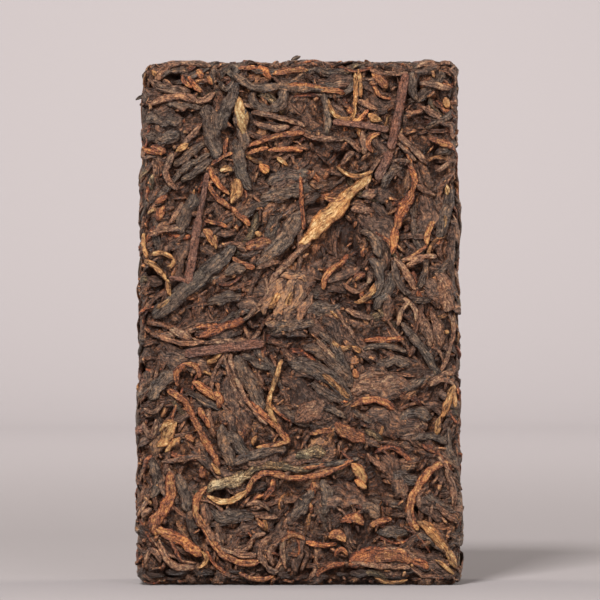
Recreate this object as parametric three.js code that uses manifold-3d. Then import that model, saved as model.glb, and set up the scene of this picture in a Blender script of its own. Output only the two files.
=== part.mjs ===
// A pressed brick of pu erh tea, standing on one of its short ends.
// Dark tea leaves, golden buds and stalks were steamed soft and pressed hard in a rectangular mould, so the
// whole is one piece: a packed core whose outer leaves still show as curled and flattened strands.
// Millimetres, +Z up, the face of the brick towards -Y, the origin under the middle of the end it stands on.
import * as THREE from 'three';
import { mergeVertices } from 'three/addons/utils/BufferGeometryUtils.js';
import Module from 'manifold-3d';

// The brick: the mould's inside height and depth, and a width that shrinks a little towards the top.
const HEIGHT = 100;
const DEPTH = 19;
const BASE_WIDTH = 62.8;
const TOP_WIDTH = 60.8;
const EDGE_RADIUS = 2.2;

// The packed core lies this far under the mould's walls, on the two faces and round the edge, and its
// surface is this uneven. Its vertices are about a cell apart.
const FACE_DEPTH = 1.35;
const RIM_DEPTH = 1;
const CORE_BUMPS = 0.4;
const CORE_CELL = 10;
const FOOT_CUT = 1.4;

// A strand's section: points round it, as a share of the width across and a share of the way down from its
// crown to its bed in the core. Rolled strands are flat on top, leaves have a fold or a rib along them.
const SECTIONS = {
  rolled: [[-0.4, 0], [0.4, 0], [0.58, 1], [-0.58, 1]],
  folded: [[-0.47, 0], [0, 0.24], [0.47, 0], [0.58, 1], [0, 1], [-0.58, 1]],
  ribbed: [[-0.47, 0.22], [0, 0], [0.47, 0.22], [0.58, 1], [0, 1], [-0.58, 1]],
};
const BED_DEPTH = 2.4;
const TIP_DEPTH = 0.55;
const RING_SPACING = { pointed: 4.6, blunt: 8 };
const LEAST_RINGS = { pointed: 4, blunt: 1 };

// The kinds of strand: their section, whether they end bluntly, and how far under the mould's wall their
// crowns lie. Flat leaves went down first and stalks and buds last.
const KINDS = {
  filler: { section: SECTIONS.folded, blunt: false, crown: 0.55 },
  flat: { section: SECTIONS.folded, blunt: false, crown: 0.3 },
  strand: { section: SECTIONS.rolled, blunt: false, crown: 0.1 },
  stalk: { section: SECTIONS.rolled, blunt: true, crown: 0 },
  bud: { section: SECTIONS.ribbed, blunt: false, crown: 0 },
};

const wasm = await Module();
wasm.setup();

// A row of the lists below is one strand: where it starts, its middle and its end, as distances across from
// the brick's middle line and up from its foot, then its width.

// Woody stalks, with blunt ends.
const FRONT_STALKS = [
  [20.2, 97.2, 18.8, 91, 17.4, 82.8, 2.1],
  [17.3, 82.6, 16.2, 79.6, 14.8, 76.8, 2.1],
  [-18.2, 75.6, -19.6, 67, -20.8, 57.8, 1.5],
  [-21.8, 44, -15, 44.8, -8, 46.1, 1.8],
  [5.8, 88, 11, 87.6, 16.8, 86.4, 1.2],
  [12.6, 46.4, 16, 46.5, 19.8, 46.7, 1.5],
  [-28.4, 48.4, -23.4, 46, -16.5, 46.5, 1.2],
];

// Golden buds and the palest, most open leaves.
const FRONT_BUDS = [
  [0.2, 64.8, 6.2, 70.9, 12.8, 77, 4],
  [-11, 93, -11.1, 88.5, -10.6, 83.6, 2.6],
  [22.4, 12.6, 26.4, 9.4, 30.2, 4, 2.6],
  [10.4, 23.2, 11.5, 21, 12.6, 18.5, 2.1],
  [-11.8, 77.8, -12, 75.2, -13, 73, 2.8],
  [-24.7, 21.2, -24.4, 16.8, -26.9, 11, 2.3],
  [-27.4, 10.6, -23.4, 9.3, -19, 6.8, 1.8],
  [-26.4, 26.6, -24.8, 28.4, -22.6, 30.8, 2.4],
  [-5.8, 54.2, -3, 56, 0.2, 58, 3.4],
  [25.6, 69.2, 24.5, 67.4, 24.6, 64.8, 1.3],
  [28.9, 38, 27.9, 33.6, 26.2, 29, 1.5],
  [5.4, 8.6, 7.2, 9, 8.6, 9.8, 2.3],
];

// Rolled strands, brown or rust, curled as they dried.
const FRONT_STRANDS = [
  [-27, 97, -24, 99.2, -17, 98.4, 1.8],
  [-27.9, 94.6, -24, 95.4, -19.4, 93.6, 1.7],
  [-28.2, 91.2, -24, 93, -16, 93, 1.6],
  [-12.6, 98, -8.6, 95, -2.6, 95.9, 1.4],
  [-2.6, 95.9, 3, 95, 9, 94.4, 2.2],
  [-9.4, 83, -5, 84.9, 0.5, 86.4, 1.3],
  [0, 86, 6.2, 84.4, 11.4, 82.2, 1.2],
  [4.4, 93.2, 5.3, 90, 5.1, 86, 1.5],
  [19, 85.6, 21.6, 83.4, 24.2, 80.4, 1.6],
  [22.8, 95.2, 26, 94.8, 29.2, 94, 1.6],
  [22.6, 98.2, 24.8, 99.2, 28.8, 98.8, 1.8],
  [24.6, 84.6, 27, 84.2, 29.6, 83, 1.5],
  [23.6, 86.4, 26.6, 87.8, 29.4, 89, 1.5],
  [-23.6, 82, -25.2, 79.2, -23.2, 75.2, 1.4],
  [-17.2, 77.4, -14.8, 72.8, -9.6, 68.6, 1.2],
  [-29.3, 66, -29, 61.8, -25.2, 58, 1.3],
  [0.2, 64.4, -2.6, 61.2, -5.8, 56.8, 1.4],
  [21.8, 77, 21, 73.4, 18.6, 69.8, 1.3],
  [18.9, 70, 18.4, 67, 17.6, 63, 1.9],
  [18.4, 61.4, 19, 56.8, 24.8, 54.7, 1.4],
  [14, 62.6, 15, 58, 11.4, 54.6, 1.8],
  [-23.4, 38.2, -22.4, 41.9, -19.4, 41.1, 1.3],
  [-25, 37, -21.4, 33.8, -15.4, 22.8, 1.3],
  [-19.8, 38.2, -17.2, 37, -15.9, 34.2, 1.4],
  [-13, 43.4, -11.2, 38.6, -8.6, 33.6, 1.3],
  [-9.4, 34.6, -6.4, 32, -2, 28, 1.4],
  [-3.4, 43.6, -3.4, 38.6, -5.2, 32.8, 1.2],
  [9.6, 33, 13, 35, 17.8, 34, 1.5],
  [28.4, 52, 29.2, 47.6, 26.8, 41, 1.3],
  [-18, 17.8, -19.6, 13.2, -16, 8, 1.4],
  [-16, 8, -14.2, 5.4, -8, 4.7, 1.4],
  [-5, 9.9, -7.4, 6.4, -4, 2.5, 1.4],
  [-3.4, 8.2, 0, 8.8, 7, 7.6, 1.2],
  [-16.8, 18.4, -12.6, 18.6, -7.4, 21.2, 2],
  [-7.4, 21.2, 0.6, 21.2, 9.4, 23.6, 1.9],
  [26.8, 22.3, 22.2, 17.4, 22.6, 11.8, 1.5],
  [-27, 9.2, -23.6, 3.8, -18.6, 6.2, 1.4],
];

// Leaves that were pressed out flat.
const FRONT_FLATS = [
  [-29.4, 87.6, -26, 87.2, -21.6, 86.2, 5.2],
  [-12, 95.2, -15.2, 89.6, -15.4, 80.9, 4.2],
  [-23.4, 77.6, -20.5, 80.6, -16.6, 83.2, 4.2],
  [-27.6, 51.2, -20.6, 57, -12, 64.6, 2.9],
  [-22.9, 67.4, -21.2, 71, -19.2, 74.4, 2.2],
  [-7.8, 60.8, -3.4, 64.8, 1.8, 69.8, 3],
  [28.8, 74.6, 27.4, 70, 25.8, 64.8, 3.2],
  [20.4, 70.8, 22, 68, 24, 66.2, 3.4],
  [25.2, 58.6, 27.4, 56.6, 28.5, 53.4, 3.4],
  [-24, 41.6, -26.6, 38.6, -28.4, 35.4, 3.4],
  [-11, 43, -8.6, 39, -6.6, 35.2, 3.2],
  [0.2, 42.8, 4.8, 40, 9.8, 35.6, 2.4],
  [3.2, 46.6, 7, 42.4, 9.9, 37.4, 2.4],
  [25, 52.4, 25.8, 48.6, 27.2, 45.4, 2.8],
  [19.8, 49.6, 23, 45, 25.6, 40.6, 2],
  [6.6, 30.8, 9.6, 28.8, 12.8, 26.4, 2.6],
  [-1.2, 25.2, 1.2, 25.2, 4.8, 24.6, 2.8],
  [-16.8, 15, -13, 13.8, -9, 12, 4.2],
  [9.4, 4.6, 16.6, 5.2, 24.6, 3.4, 4.6],
  [11.8, 97.4, 13.2, 94.4, 14.8, 92.4, 3],
];

// Loose tips that stand out past the outline: a hook at the top left and a tuft on the top edge.
const LOOSE_TIPS = [
  [-27.4, 91.2, -30, 94.6, -31.4, 93.5, 1.1],
  [-1.4, 96.4, -1, 99.6, -1.2, 100.8, 1.2],
  [-1, 96.4, -0.4, 99.4, 0.6, 100.9, 1.1],
];
const LOOSE_TIP_SET_BACK = 4;

// The other faces carry strands by a rule: one in each cell of this many rows and columns, turned and moved
// at random. Lengths, widths and bows are the least and the most of what the face of the brick shows.
const CELLS = {
  front: { columns: 4, rows: 7 },
  back: { columns: 4, rows: 9 },
  right: { columns: 1, rows: 8 },
  left: { columns: 1, rows: 8 },
  top: { columns: 5, rows: 1 },
};
const CELL_SEED = 20061;
const STRAND_LENGTH = { least: 11, most: 24 };
const STRAND_WIDTH = { least: 2.4, most: 5.4 };
const STRAND_BOW = 0.22;
const CELL_MARGIN = 2.5;

const X = new THREE.Vector3(1, 0, 0);
const Y = new THREE.Vector3(0, 1, 0);
const Z = new THREE.Vector3(0, 0, 1);
const MIDDLE = new THREE.Vector3(0, 0, HEIGHT / 2);
const half = { x: BASE_WIDTH / 2, y: DEPTH / 2, z: HEIGHT / 2 };

// Each face as a sheet to lay strands on: across and up run over it, and out leaves the brick.
const FACES = {
  front: { across: X, up: Z, out: Y.clone().negate(), size: [half.x, half.z, half.y] },
  back: { across: X.clone().negate(), up: Z, out: Y, size: [half.x, half.z, half.y] },
  right: { across: Y, up: Z, out: X, size: [half.y, half.z, half.x] },
  left: { across: Y.clone().negate(), up: Z, out: X.clone().negate(), size: [half.y, half.z, half.x] },
  top: { across: X, up: Y, out: Z, size: [half.x, half.y, half.z] },
};

// The share of its width at the foot that the brick keeps at this height.
function taperAt(z) {
  return 1 + (TOP_WIDTH / BASE_WIDTH - 1) * (z / HEIGHT);
}

// Bends a distance over a face round the brick's rounded edge: how far out it reaches, how far it has
// dropped behind the face there and how much the surface leans.
function overEdge(distance, halfSize) {
  const straight = halfSize - EDGE_RADIUS;
  const over = Math.abs(distance) - straight;
  if (over <= 0) return { reach: distance, drop: 0, lean: 0 };
  const side = Math.sign(distance);
  const turn = Math.min(over / EDGE_RADIUS, Math.PI / 2);
  const beyond = Math.max(over - (EDGE_RADIUS * Math.PI) / 2, 0);
  return {
    reach: side * (straight + EDGE_RADIUS * Math.sin(turn)),
    drop: EDGE_RADIUS * (1 - Math.cos(turn)) + beyond,
    lean: side * turn,
  };
}

// The point a given height above a face, at distances across and up from the face's middle.
function onFace(face, across, up, height) {
  const [halfAcross, halfUp, halfOut] = face.size;
  const a = overEdge(across, halfAcross);
  const u = overEdge(up, halfUp);
  const point = MIDDLE.clone()
    .addScaledVector(face.across, a.reach + height * Math.sin(a.lean))
    .addScaledVector(face.up, u.reach + height * Math.sin(u.lean))
    .addScaledVector(face.out, halfOut - a.drop - u.drop + height * Math.cos(a.lean) * Math.cos(u.lean));
  point.x *= taperAt(point.z);
  return point;
}

// A three.js geometry as a solid that can be joined and cut.
function solidOf(geometry) {
  const bare = geometry.clone();
  bare.deleteAttribute('normal');
  bare.deleteAttribute('uv');
  const merged = mergeVertices(bare, 1e-4);
  return new wasm.Manifold(new wasm.Mesh({
    numProp: 3,
    vertProperties: new Float32Array(merged.attributes.position.array),
    triVerts: new Uint32Array(merged.index.array),
  }));
}

// A strand before it is bent: a ball with few sides for one with pointed ends, a cylinder for a blunt one.
// Its length runs along y, and along() says how far down it a vertex is, from 0 to 1.
const POINTED = {
  make: (sides, rings) => new THREE.SphereGeometry(1, sides, rings, Math.PI / sides),
  along: (y) => Math.acos(THREE.MathUtils.clamp(y, -1, 1)) / Math.PI,
  fullness: (t) => Math.sin(Math.PI * t) ** 0.5,
};
const BLUNT = {
  make: (sides, rings) => new THREE.CylinderGeometry(1, 1, 1, sides, rings, false, Math.PI / sides),
  along: (y) => 0.5 - y,
  fullness: () => 1,
};

// One strand as a solid: its section carried along the curve through its three points, on a face or, where
// setBack is given, in an upright plane that far behind the face.
function strandSolid(face, kind, [a0, u0, a1, u1, a2, u2, width], setBack) {
  const curve = new THREE.SplineCurve([
    new THREE.Vector2(a0, u0),
    new THREE.Vector2(a1, u1),
    new THREE.Vector2(a2, u2),
  ]);
  const end = kind.blunt ? 'blunt' : 'pointed';
  const rings = Math.max(LEAST_RINGS[end], Math.round(curve.getLength() / RING_SPACING[end]));
  const shape = kind.blunt ? BLUNT : POINTED;
  const sides = kind.section.length;
  const geometry = shape.make(sides, rings);
  const place = geometry.attributes.position;
  for (let i = 0; i < place.count; i++) {
    const t = shape.along(place.getY(i));
    const girth = Math.hypot(place.getX(i), place.getZ(i)) > 1e-6 ? shape.fullness(t) : 0;
    const turn = Math.atan2(place.getZ(i), -place.getX(i)) / (2 * Math.PI);
    const [side, down] = kind.section[(Math.round(turn * sides - 0.5) + sides) % sides];
    const point = curve.getPoint(t);
    const tangent = curve.getTangent(t);
    const across = point.x - tangent.y * side * width * girth;
    const up = point.y + tangent.x * side * width * girth;
    const share = THREE.MathUtils.lerp(TIP_DEPTH, down, girth);
    const height = -THREE.MathUtils.lerp(kind.crown, BED_DEPTH, share);
    const laid = setBack === undefined
      ? onFace(face, across, up, height)
      : new THREE.Vector3(across, setBack - half.y - height, up + half.z);
    place.setXYZ(i, laid.x, laid.y, laid.z);
  }
  const solid = solidOf(geometry);
  return solid.volume() > 0 ? solid : solidOf(turnedInsideOut(geometry));
}

// The same geometry with each face turned round, for a shape that the bend has mirrored.
function turnedInsideOut(geometry) {
  const turned = geometry.clone();
  const index = turned.index.array;
  for (let i = 0; i < index.length; i += 3) [index[i], index[i + 1]] = [index[i + 1], index[i]];
  return turned;
}

// A strand of the front lists, whose places are given in the brick's own width, as a row of onFace.
function frontRow([x0, z0, x1, z1, x2, z2, width]) {
  return [
    x0 / taperAt(z0), z0 - half.z,
    x1 / taperAt(z1), z1 - half.z,
    x2 / taperAt(z2), z2 - half.z,
    width,
  ];
}

// A random number from 0 to 1, the same each time for the same seed.
function seededDraw(seed) {
  let state = seed >>> 0;
  return () => {
    state = (Math.imul(state, 1664525) + 1013904223) >>> 0;
    return state / 2 ** 32;
  };
}

// One strand in each cell of a face, moved and turned at random.
function cellRows(face, { columns, rows }, draw) {
  const [halfAcross, halfUp] = face.size;
  const between = (least, most) => least + (most - least) * draw();
  const list = [];
  for (let row = 0; row < rows; row++) {
    for (let column = 0; column < columns; column++) {
      const across = (2 * halfAcross * (column + between(0.3, 0.7))) / columns - halfAcross;
      const up = (2 * halfUp * (row + between(0.3, 0.7))) / rows - halfUp;
      const reach = between(STRAND_LENGTH.least, STRAND_LENGTH.most) / 2;
      const heading = between(0, Math.PI);
      const bow = between(-STRAND_BOW, STRAND_BOW) * reach;
      const width = between(STRAND_WIDTH.least, STRAND_WIDTH.most);
      const [c, s] = [Math.cos(heading), Math.sin(heading)];
      const inside = Math.min(1, (halfUp - CELL_MARGIN - Math.abs(up)) / (reach * Math.abs(s) + 1e-6));
      const length = reach * Math.max(inside, 0.35);
      list.push([
        across - c * length, up - s * length,
        across - s * bow, up + c * bow,
        across + c * length, up + s * length,
        width,
      ]);
    }
  }
  return list;
}

// A smooth, uneven height over the core, from waves that drift against each other.
function bumpAt(x, y, z) {
  const slow = Math.sin(0.83 * x + 1.7 * Math.sin(0.41 * z + 0.6 * y));
  const quick = Math.sin(0.67 * z + 1.3 * Math.sin(0.57 * x + 0.9 * y));
  return slow * quick;
}

// Where a row of a block's vertices goes: the outermost two rows stand at its edge and where the rounding
// starts, the others evenly between.
function rowPlace(value, halfSize, rows) {
  const row = Math.round(((value / halfSize + 1) * rows) / 2);
  if (row === 0 || row === rows) return Math.sign(value) * halfSize;
  return (halfSize - EDGE_RADIUS) * ((2 * (row - 1)) / (rows - 2) - 1);
}

// The packed core: a block inside the mould with rounded edges and an uneven skin. Its lower end reaches
// below the level foot, where it is cut off.
function coreSolid() {
  const inner = [half.x - RIM_DEPTH, half.y - FACE_DEPTH, (HEIGHT - RIM_DEPTH + FOOT_CUT) / 2];
  const rows = inner.map((size) => Math.max(4, Math.round((2 * size) / CORE_CELL)));
  const geometry = new THREE.BoxGeometry(...inner.map((size) => 2 * size), ...rows);
  const place = geometry.attributes.position;
  const straight = inner.map((size) => size - EDGE_RADIUS);
  for (let i = 0; i < place.count; i++) {
    const point = new THREE.Vector3(
      rowPlace(place.getX(i), inner[0], rows[0]),
      rowPlace(place.getY(i), inner[1], rows[1]),
      rowPlace(place.getZ(i), inner[2], rows[2]),
    );
    const held = point.clone().clamp(
      new THREE.Vector3(...straight).negate(),
      new THREE.Vector3(...straight),
    );
    const normal = point.clone().sub(held).normalize();
    point.copy(held).addScaledVector(normal, EDGE_RADIUS + CORE_BUMPS * bumpAt(point.x, point.y, point.z));
    point.z += inner[2] - FOOT_CUT;
    place.setXYZ(i, point.x * taperAt(point.z), point.y, point.z);
  }
  return solidOf(geometry);
}

// What the mould's walls leave: they press the highest strands flat and level the end it stands on.
function mouldSolid() {
  const looseTop = 1.2;
  const geometry = new THREE.BoxGeometry(BASE_WIDTH, DEPTH, HEIGHT + looseTop);
  geometry.translate(0, 0, (HEIGHT + looseTop) / 2);
  return solidOf(geometry);
}

function brickGeometry() {
  const front = FACES.front;
  const solids = [coreSolid()];
  const draw = seededDraw(CELL_SEED);
  for (const [name, cells] of Object.entries(CELLS)) {
    const kind = name === 'front' ? KINDS.filler : KINDS.flat;
    cellRows(FACES[name], cells, draw).forEach((row) => solids.push(strandSolid(FACES[name], kind, row)));
  }
  FRONT_FLATS.forEach((row) => solids.push(strandSolid(front, KINDS.flat, frontRow(row))));
  FRONT_STRANDS.forEach((row) => solids.push(strandSolid(front, KINDS.strand, frontRow(row))));
  FRONT_STALKS.forEach((row) => solids.push(strandSolid(front, KINDS.stalk, frontRow(row))));
  FRONT_BUDS.forEach((row) => solids.push(strandSolid(front, KINDS.bud, frontRow(row))));
  LOOSE_TIPS.forEach(([x0, z0, x1, z1, x2, z2, width]) => {
    const row = [x0, z0 - half.z, x1, z1 - half.z, x2, z2 - half.z, width];
    solids.push(strandSolid(front, KINDS.strand, row, LOOSE_TIP_SET_BACK));
  });
  const joined = solids.reduce((whole, solid) => whole.add(solid)).intersect(mouldSolid());
  const { numProp, vertProperties, triVerts } = joined.getMesh();
  const positions = new Float32Array((vertProperties.length / numProp) * 3);
  for (let i = 0; i < positions.length / 3; i++) {
    positions.set(vertProperties.subarray(i * numProp, i * numProp + 3), i * 3);
  }
  const geometry = new THREE.BufferGeometry();
  geometry.setAttribute('position', new THREE.BufferAttribute(positions, 3));
  geometry.setIndex(new THREE.BufferAttribute(triVerts, 1));
  geometry.computeVertexNormals();
  return geometry;
}

const brick = new THREE.Group();
const pressedLeaf = new THREE.MeshStandardMaterial({ color: 0x634a3c, roughness: 0.75, metalness: 0 });
const teaBrick = new THREE.Mesh(brickGeometry(), pressedLeaf);
teaBrick.name = 'tea_brick';
brick.add(teaBrick);

export default brick;
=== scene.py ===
import math

import bpy
import numpy as np
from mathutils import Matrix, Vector


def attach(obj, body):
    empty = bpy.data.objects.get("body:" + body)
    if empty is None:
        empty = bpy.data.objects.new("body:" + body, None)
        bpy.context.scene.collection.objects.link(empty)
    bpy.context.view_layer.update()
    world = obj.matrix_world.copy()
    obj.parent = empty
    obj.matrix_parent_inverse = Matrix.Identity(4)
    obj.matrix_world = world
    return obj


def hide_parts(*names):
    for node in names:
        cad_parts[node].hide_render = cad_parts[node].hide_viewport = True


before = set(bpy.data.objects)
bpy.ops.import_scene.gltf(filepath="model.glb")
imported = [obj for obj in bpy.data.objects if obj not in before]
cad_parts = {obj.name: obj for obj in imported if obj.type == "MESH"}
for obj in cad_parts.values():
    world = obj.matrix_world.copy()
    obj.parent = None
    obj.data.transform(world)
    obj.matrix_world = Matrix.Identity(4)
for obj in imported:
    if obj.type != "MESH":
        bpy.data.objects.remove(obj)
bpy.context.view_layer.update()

# The pressed body. Steamed tea was pressed hard in a rectangular mould, so under the leaves that stand out
# lie more of them, flattened edge to edge, held together only by having been pressed. The foot is level,
# where the mould's wall was. From here to the table every size is in millimetres.
MM = 0.001
HEIGHT = 100.0
FOOT_CUT = 0.6
DEPTH = 19.0
BASE_WIDTH = 62.8
TOP_WIDTH = 60.8
EDGE_RADIUS = 2.2
HALF = np.array([BASE_WIDTH / 2, DEPTH / 2, (HEIGHT + FOOT_CUT) / 2])
MIDDLE_UP = HEIGHT - HALF[2]
BODY_SUNK = 0.78
BODY_CELL = 0.55
INNERMOST_RING = 0.02
BODY_LEAVES = 1500
LEAF_HALF_LENGTH = (2.5, 6.5)
LEAF_HALF_WIDTH = (0.6, 1.3)
LEAF_LEVEL = (-0.5, 0.35)
LEAF_DOME = 0.75
DOME_BORDER = 0.22
RIB_PITCH = 0.75
RIB_HEIGHT = 0.13
STREAK_LENGTH = 10
STREAK_SHIFT = (0.37, 0.61)
POINTS_AT_ONCE = 4000
TONE_BETA = (1.6, 2.6)
DARKEST_TONE = 0.2
TONE_RANGE = 0.75
UNEVEN = np.array([0.4, 0.14, 0.42])
WORN_TOP = 2.6
WORN_FOOT = 1.8
# Gaps between the leaves of the front: the middle, across and up, then half the width and half the height.
HOLLOWS = np.array([
    (-24, 96.8, 1.6, 0.8), (-12.9, 87.5, 0.8, 2.8), (27, 82, 1.4, 1.2), (-28, 58.5, 1.6, 1.6),
    (-20.5, 5.3, 1.8, 1.3), (23, 14.3, 0.9, 1.8), (-15.6, 17.3, 1.2, 0.7), (-17.8, 9.6, 0.9, 1.6),
    (23.2, 94, 1.2, 1.4), (-19.6, 79.6, 0.8, 1.2), (8.2, 81.4, 1.2, 1.0), (26.6, 7, 1.0, 1.0),
    (12.8, 92.9, 1.0, 0.8), (25.6, 91.6, 1.2, 0.9), (-3.4, 93.4, 1.3, 0.5), (-22.8, 89.8, 1.2, 0.5),
    (-24.6, 2.2, 2.2, 0.7), (-14.4, 2.0, 3.0, 0.7), (3.0, 2.4, 3.2, 0.8), (11.6, 2.4, 2.0, 0.7),
])
HOLLOW_DEPTH = 1.6


def taper_at(z):
    """The share of its foot's width that the brick has at height z, which falls evenly to the top."""
    return 1 + (TOP_WIDTH / BASE_WIDTH - 1) * z / HEIGHT


def unevenness(points):
    """How far the tea swells out or sinks in at places, from -1 to 1: the mean of three sines of the place,
    each with its phase bent by another, so that no wave repeats."""
    x, y, z = points[..., 0], points[..., 1], points[..., 2]
    return (np.sin(x / 1.9 + 1.3 * np.sin(z / 3.1)) + np.sin(z / 1.7 + 1.7 * np.sin(y / 2.9 + x / 4.3))
            + np.sin((x + y - z) / 1.1 + 2 * np.sin(z / 4.7))) / 3


def worn(points):
    """The brick with its two left corners worn round. Near each one a point's distances from the two edges
    are added up, and the sum becomes the root of its square and the square of the wear, shared equally
    between across and up."""
    x, z = points[..., 0], points[..., 2]
    for corner, wear, up in ((HEIGHT, WORN_TOP, -1), (0, WORN_FOOT, 1)):
        apart = np.maximum(x + taper_at(z) * HALF[0], 0) + np.abs(corner - z)
        shift = (np.sqrt(apart ** 2 + wear ** 2) - apart) / 2
        x, z = x + shift, z + up * shift
    points[..., 0], points[..., 2] = x, z
    return points


def body_grid(cell, sunk):
    """The brick's skin as rings up the brick. Each ring is a rectangle with rounded corners at even steps
    along it; the rings go from the middle of the foot out to its edge, round it in an arc, up the walls,
    round the upper edge and back in to the middle of the top. Returns points and normals, rings first."""
    radius = EDGE_RADIUS
    flat = HALF - radius
    quarter = math.pi * radius / 2
    perimeter = 4 * (flat[0] + flat[1]) + 4 * quarter
    steps = np.linspace(0, perimeter, int(perimeter / cell), endpoint=False)
    sides = [2 * flat[1], quarter, 2 * flat[0], quarter, 2 * flat[1], quarter, 2 * flat[0], quarter]
    starts = np.concatenate([[0], np.cumsum(sides)])
    leg = np.searchsorted(starts, steps, side="right") - 1
    share = (steps - starts[leg]) / np.array(sides)[leg]
    corner = leg % 2
    quadrant = leg // 2
    angle = (quadrant + share * corner) * math.pi / 2
    ends = np.array([[1, -1], [1, 1], [-1, 1], [-1, -1], [1, -1]]) * flat[:2]
    inner = np.where(corner[:, None] == 1, ends[(quadrant + 1) % 5],
                     ends[quadrant] + share[:, None] * (ends[(quadrant + 1) % 5] - ends[quadrant]))
    outward = np.stack([np.cos(angle), np.sin(angle)], 1)

    inward = np.linspace(INNERMOST_RING, 1, int(HALF[1] / cell), endpoint=False)
    arc = np.linspace(0, math.pi / 2, int(quarter / cell) + 1, endpoint=False)
    wall = np.linspace(0, 1, int(2 * flat[2] / cell), endpoint=False)
    shrink = np.concatenate([inward, np.ones(len(arc) * 2 + len(wall)), inward[::-1]])
    lean = np.concatenate([np.full(len(inward), -math.pi / 2), arc - math.pi / 2, np.zeros(len(wall)),
                           arc, np.full(len(inward), math.pi / 2)])
    level = np.concatenate([np.zeros(len(inward) + len(arc)), wall, np.ones(len(arc) + len(inward))])
    middle = MIDDLE_UP + (2 * level - 1) * flat[2]
    points = np.empty((len(lean), len(steps), 3))
    normals = np.empty_like(points)
    reach = shrink[:, None, None]
    normals[..., :2] = outward[None] * np.cos(lean)[:, None, None]
    normals[..., 2] = np.sin(lean)[:, None]
    points[..., :2] = inner[None] * reach + radius * normals[..., :2]
    points[..., 2] = middle[:, None] + radius * normals[..., 2]
    points -= sunk * normals
    return points, normals


def pressed_leaves(points, normals, rng):
    """The body's relief. Leaves are strewn over it, each with a heading, a length and a width, and a point
    belongs to the leaf that it is nearest to when distance is measured in the leaf's own length and width.
    A leaf domes between its borders and has ribs along it as waves. Returns the rise of each point, the
    leaf's tone there and how far along and across the leaf the point is."""
    flat_points = points.reshape(-1, 3)
    flat_normals = normals.reshape(-1, 3)
    pick = rng.choice(len(flat_points), BODY_LEAVES, replace=False)
    heart, out = flat_points[pick], flat_normals[pick]
    aside = np.cross(out, rng.normal(size=(BODY_LEAVES, 3)))
    along = aside / np.linalg.norm(aside, axis=1, keepdims=True)
    across = np.cross(out, along)
    half_length = rng.uniform(*LEAF_HALF_LENGTH, BODY_LEAVES)
    half_width = rng.uniform(*LEAF_HALF_WIDTH, BODY_LEAVES)
    level = rng.uniform(*LEAF_LEVEL, BODY_LEAVES)
    tone = rng.beta(*TONE_BETA, BODY_LEAVES)
    phase = rng.uniform(0, 2 * math.pi, BODY_LEAVES)
    rise = np.empty(len(flat_points))
    shade = np.empty(len(flat_points))
    streak = np.empty((len(flat_points), 2))
    for start in range(0, len(flat_points), POINTS_AT_ONCE):
        some = slice(start, start + POINTS_AT_ONCE)
        here = flat_points[some]
        run = here @ along.T - np.sum(heart * along, 1)
        side = here @ across.T - np.sum(heart * across, 1)
        deep = here @ out.T - np.sum(heart * out, 1)
        far = (run / half_length) ** 2 + (side / half_width) ** 2 + (deep / half_width) ** 2
        order = np.argpartition(far, 1, axis=1)[:, :2]
        near = np.take_along_axis(far, order, 1)
        first = np.where(near[:, 0] > near[:, 1], order[:, 1], order[:, 0])
        border = np.sqrt(near.max(1)) - np.sqrt(near.min(1))
        rows = np.arange(len(here))
        run, side = run[rows, first], side[rows, first]
        dome = 1 - np.exp(-border / DOME_BORDER)
        wave = np.cos(2 * math.pi * side / RIB_PITCH + phase[first] + 0.5 * np.sin(run))
        rise[some] = level[first] + LEAF_DOME * dome - LEAF_DOME + RIB_HEIGHT * wave * dome
        shade[some] = tone[first]
        streak[some] = np.stack([run / STREAK_LENGTH + first * STREAK_SHIFT[0],
                                 side / STREAK_LENGTH + first * STREAK_SHIFT[1]], 1)
    shape = points.shape[:2]
    return rise.reshape(shape), shade.reshape(shape), streak.reshape(shape + (2,))


def closed_rings(rings, around, first_pole, last_pole):
    """Triangles of a skin made of rings of points: two for each cell of the grid, and a fan to a pole at
    each end. The points are numbered ring by ring, and the poles have the numbers given."""
    ring, place = np.meshgrid(np.arange(rings - 1), np.arange(around), indexing="ij")
    a = ring * around + place
    b = ring * around + (place + 1) % around
    c, d = a + around, b + around
    edge = np.arange(around)
    beyond = (edge + 1) % around
    last = (rings - 1) * around
    return np.concatenate([
        np.stack([a, b, d], -1).reshape(-1, 3),
        np.stack([a, d, c], -1).reshape(-1, 3),
        np.stack([np.full(around, first_pole), beyond, edge], -1),
        np.stack([np.full(around, last_pole), last + edge, last + beyond], -1),
    ])


def leaf_mesh(name, points, triangles, streak, tone, sunk):
    """A mesh object from arrays: points in millimetres, triangles, and for each point its place along and
    across its leaf, which becomes the UV map, its tone and how deep it lies under the face, with extra in
    pleats and at rims, which the finish paints as shade."""
    mesh = bpy.data.meshes.new(name)
    mesh.vertices.add(len(points))
    mesh.vertices.foreach_set("co", (points * MM).astype(np.float32).ravel())
    mesh.loops.add(triangles.size)
    mesh.loops.foreach_set("vertex_index", triangles.astype(np.int32).ravel())
    mesh.polygons.add(len(triangles))
    mesh.polygons.foreach_set("loop_start", np.arange(0, triangles.size, 3, dtype=np.int32))
    mesh.polygons.foreach_set("use_smooth", np.ones(len(triangles), bool))
    mesh.update(calc_edges=True)
    uv = mesh.uv_layers.new(name="UVMap")
    uv.data.foreach_set("uv", streak[triangles.ravel()].astype(np.float32).ravel())
    for label, values in (("tone", tone), ("sunk", sunk)):
        mesh.attributes.new(label, "FLOAT", "POINT").data.foreach_set("value", values.astype(np.float32))
    mesh.validate()
    piece = bpy.data.objects.new(name, mesh)
    bpy.context.scene.collection.objects.link(piece)
    return piece


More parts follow.
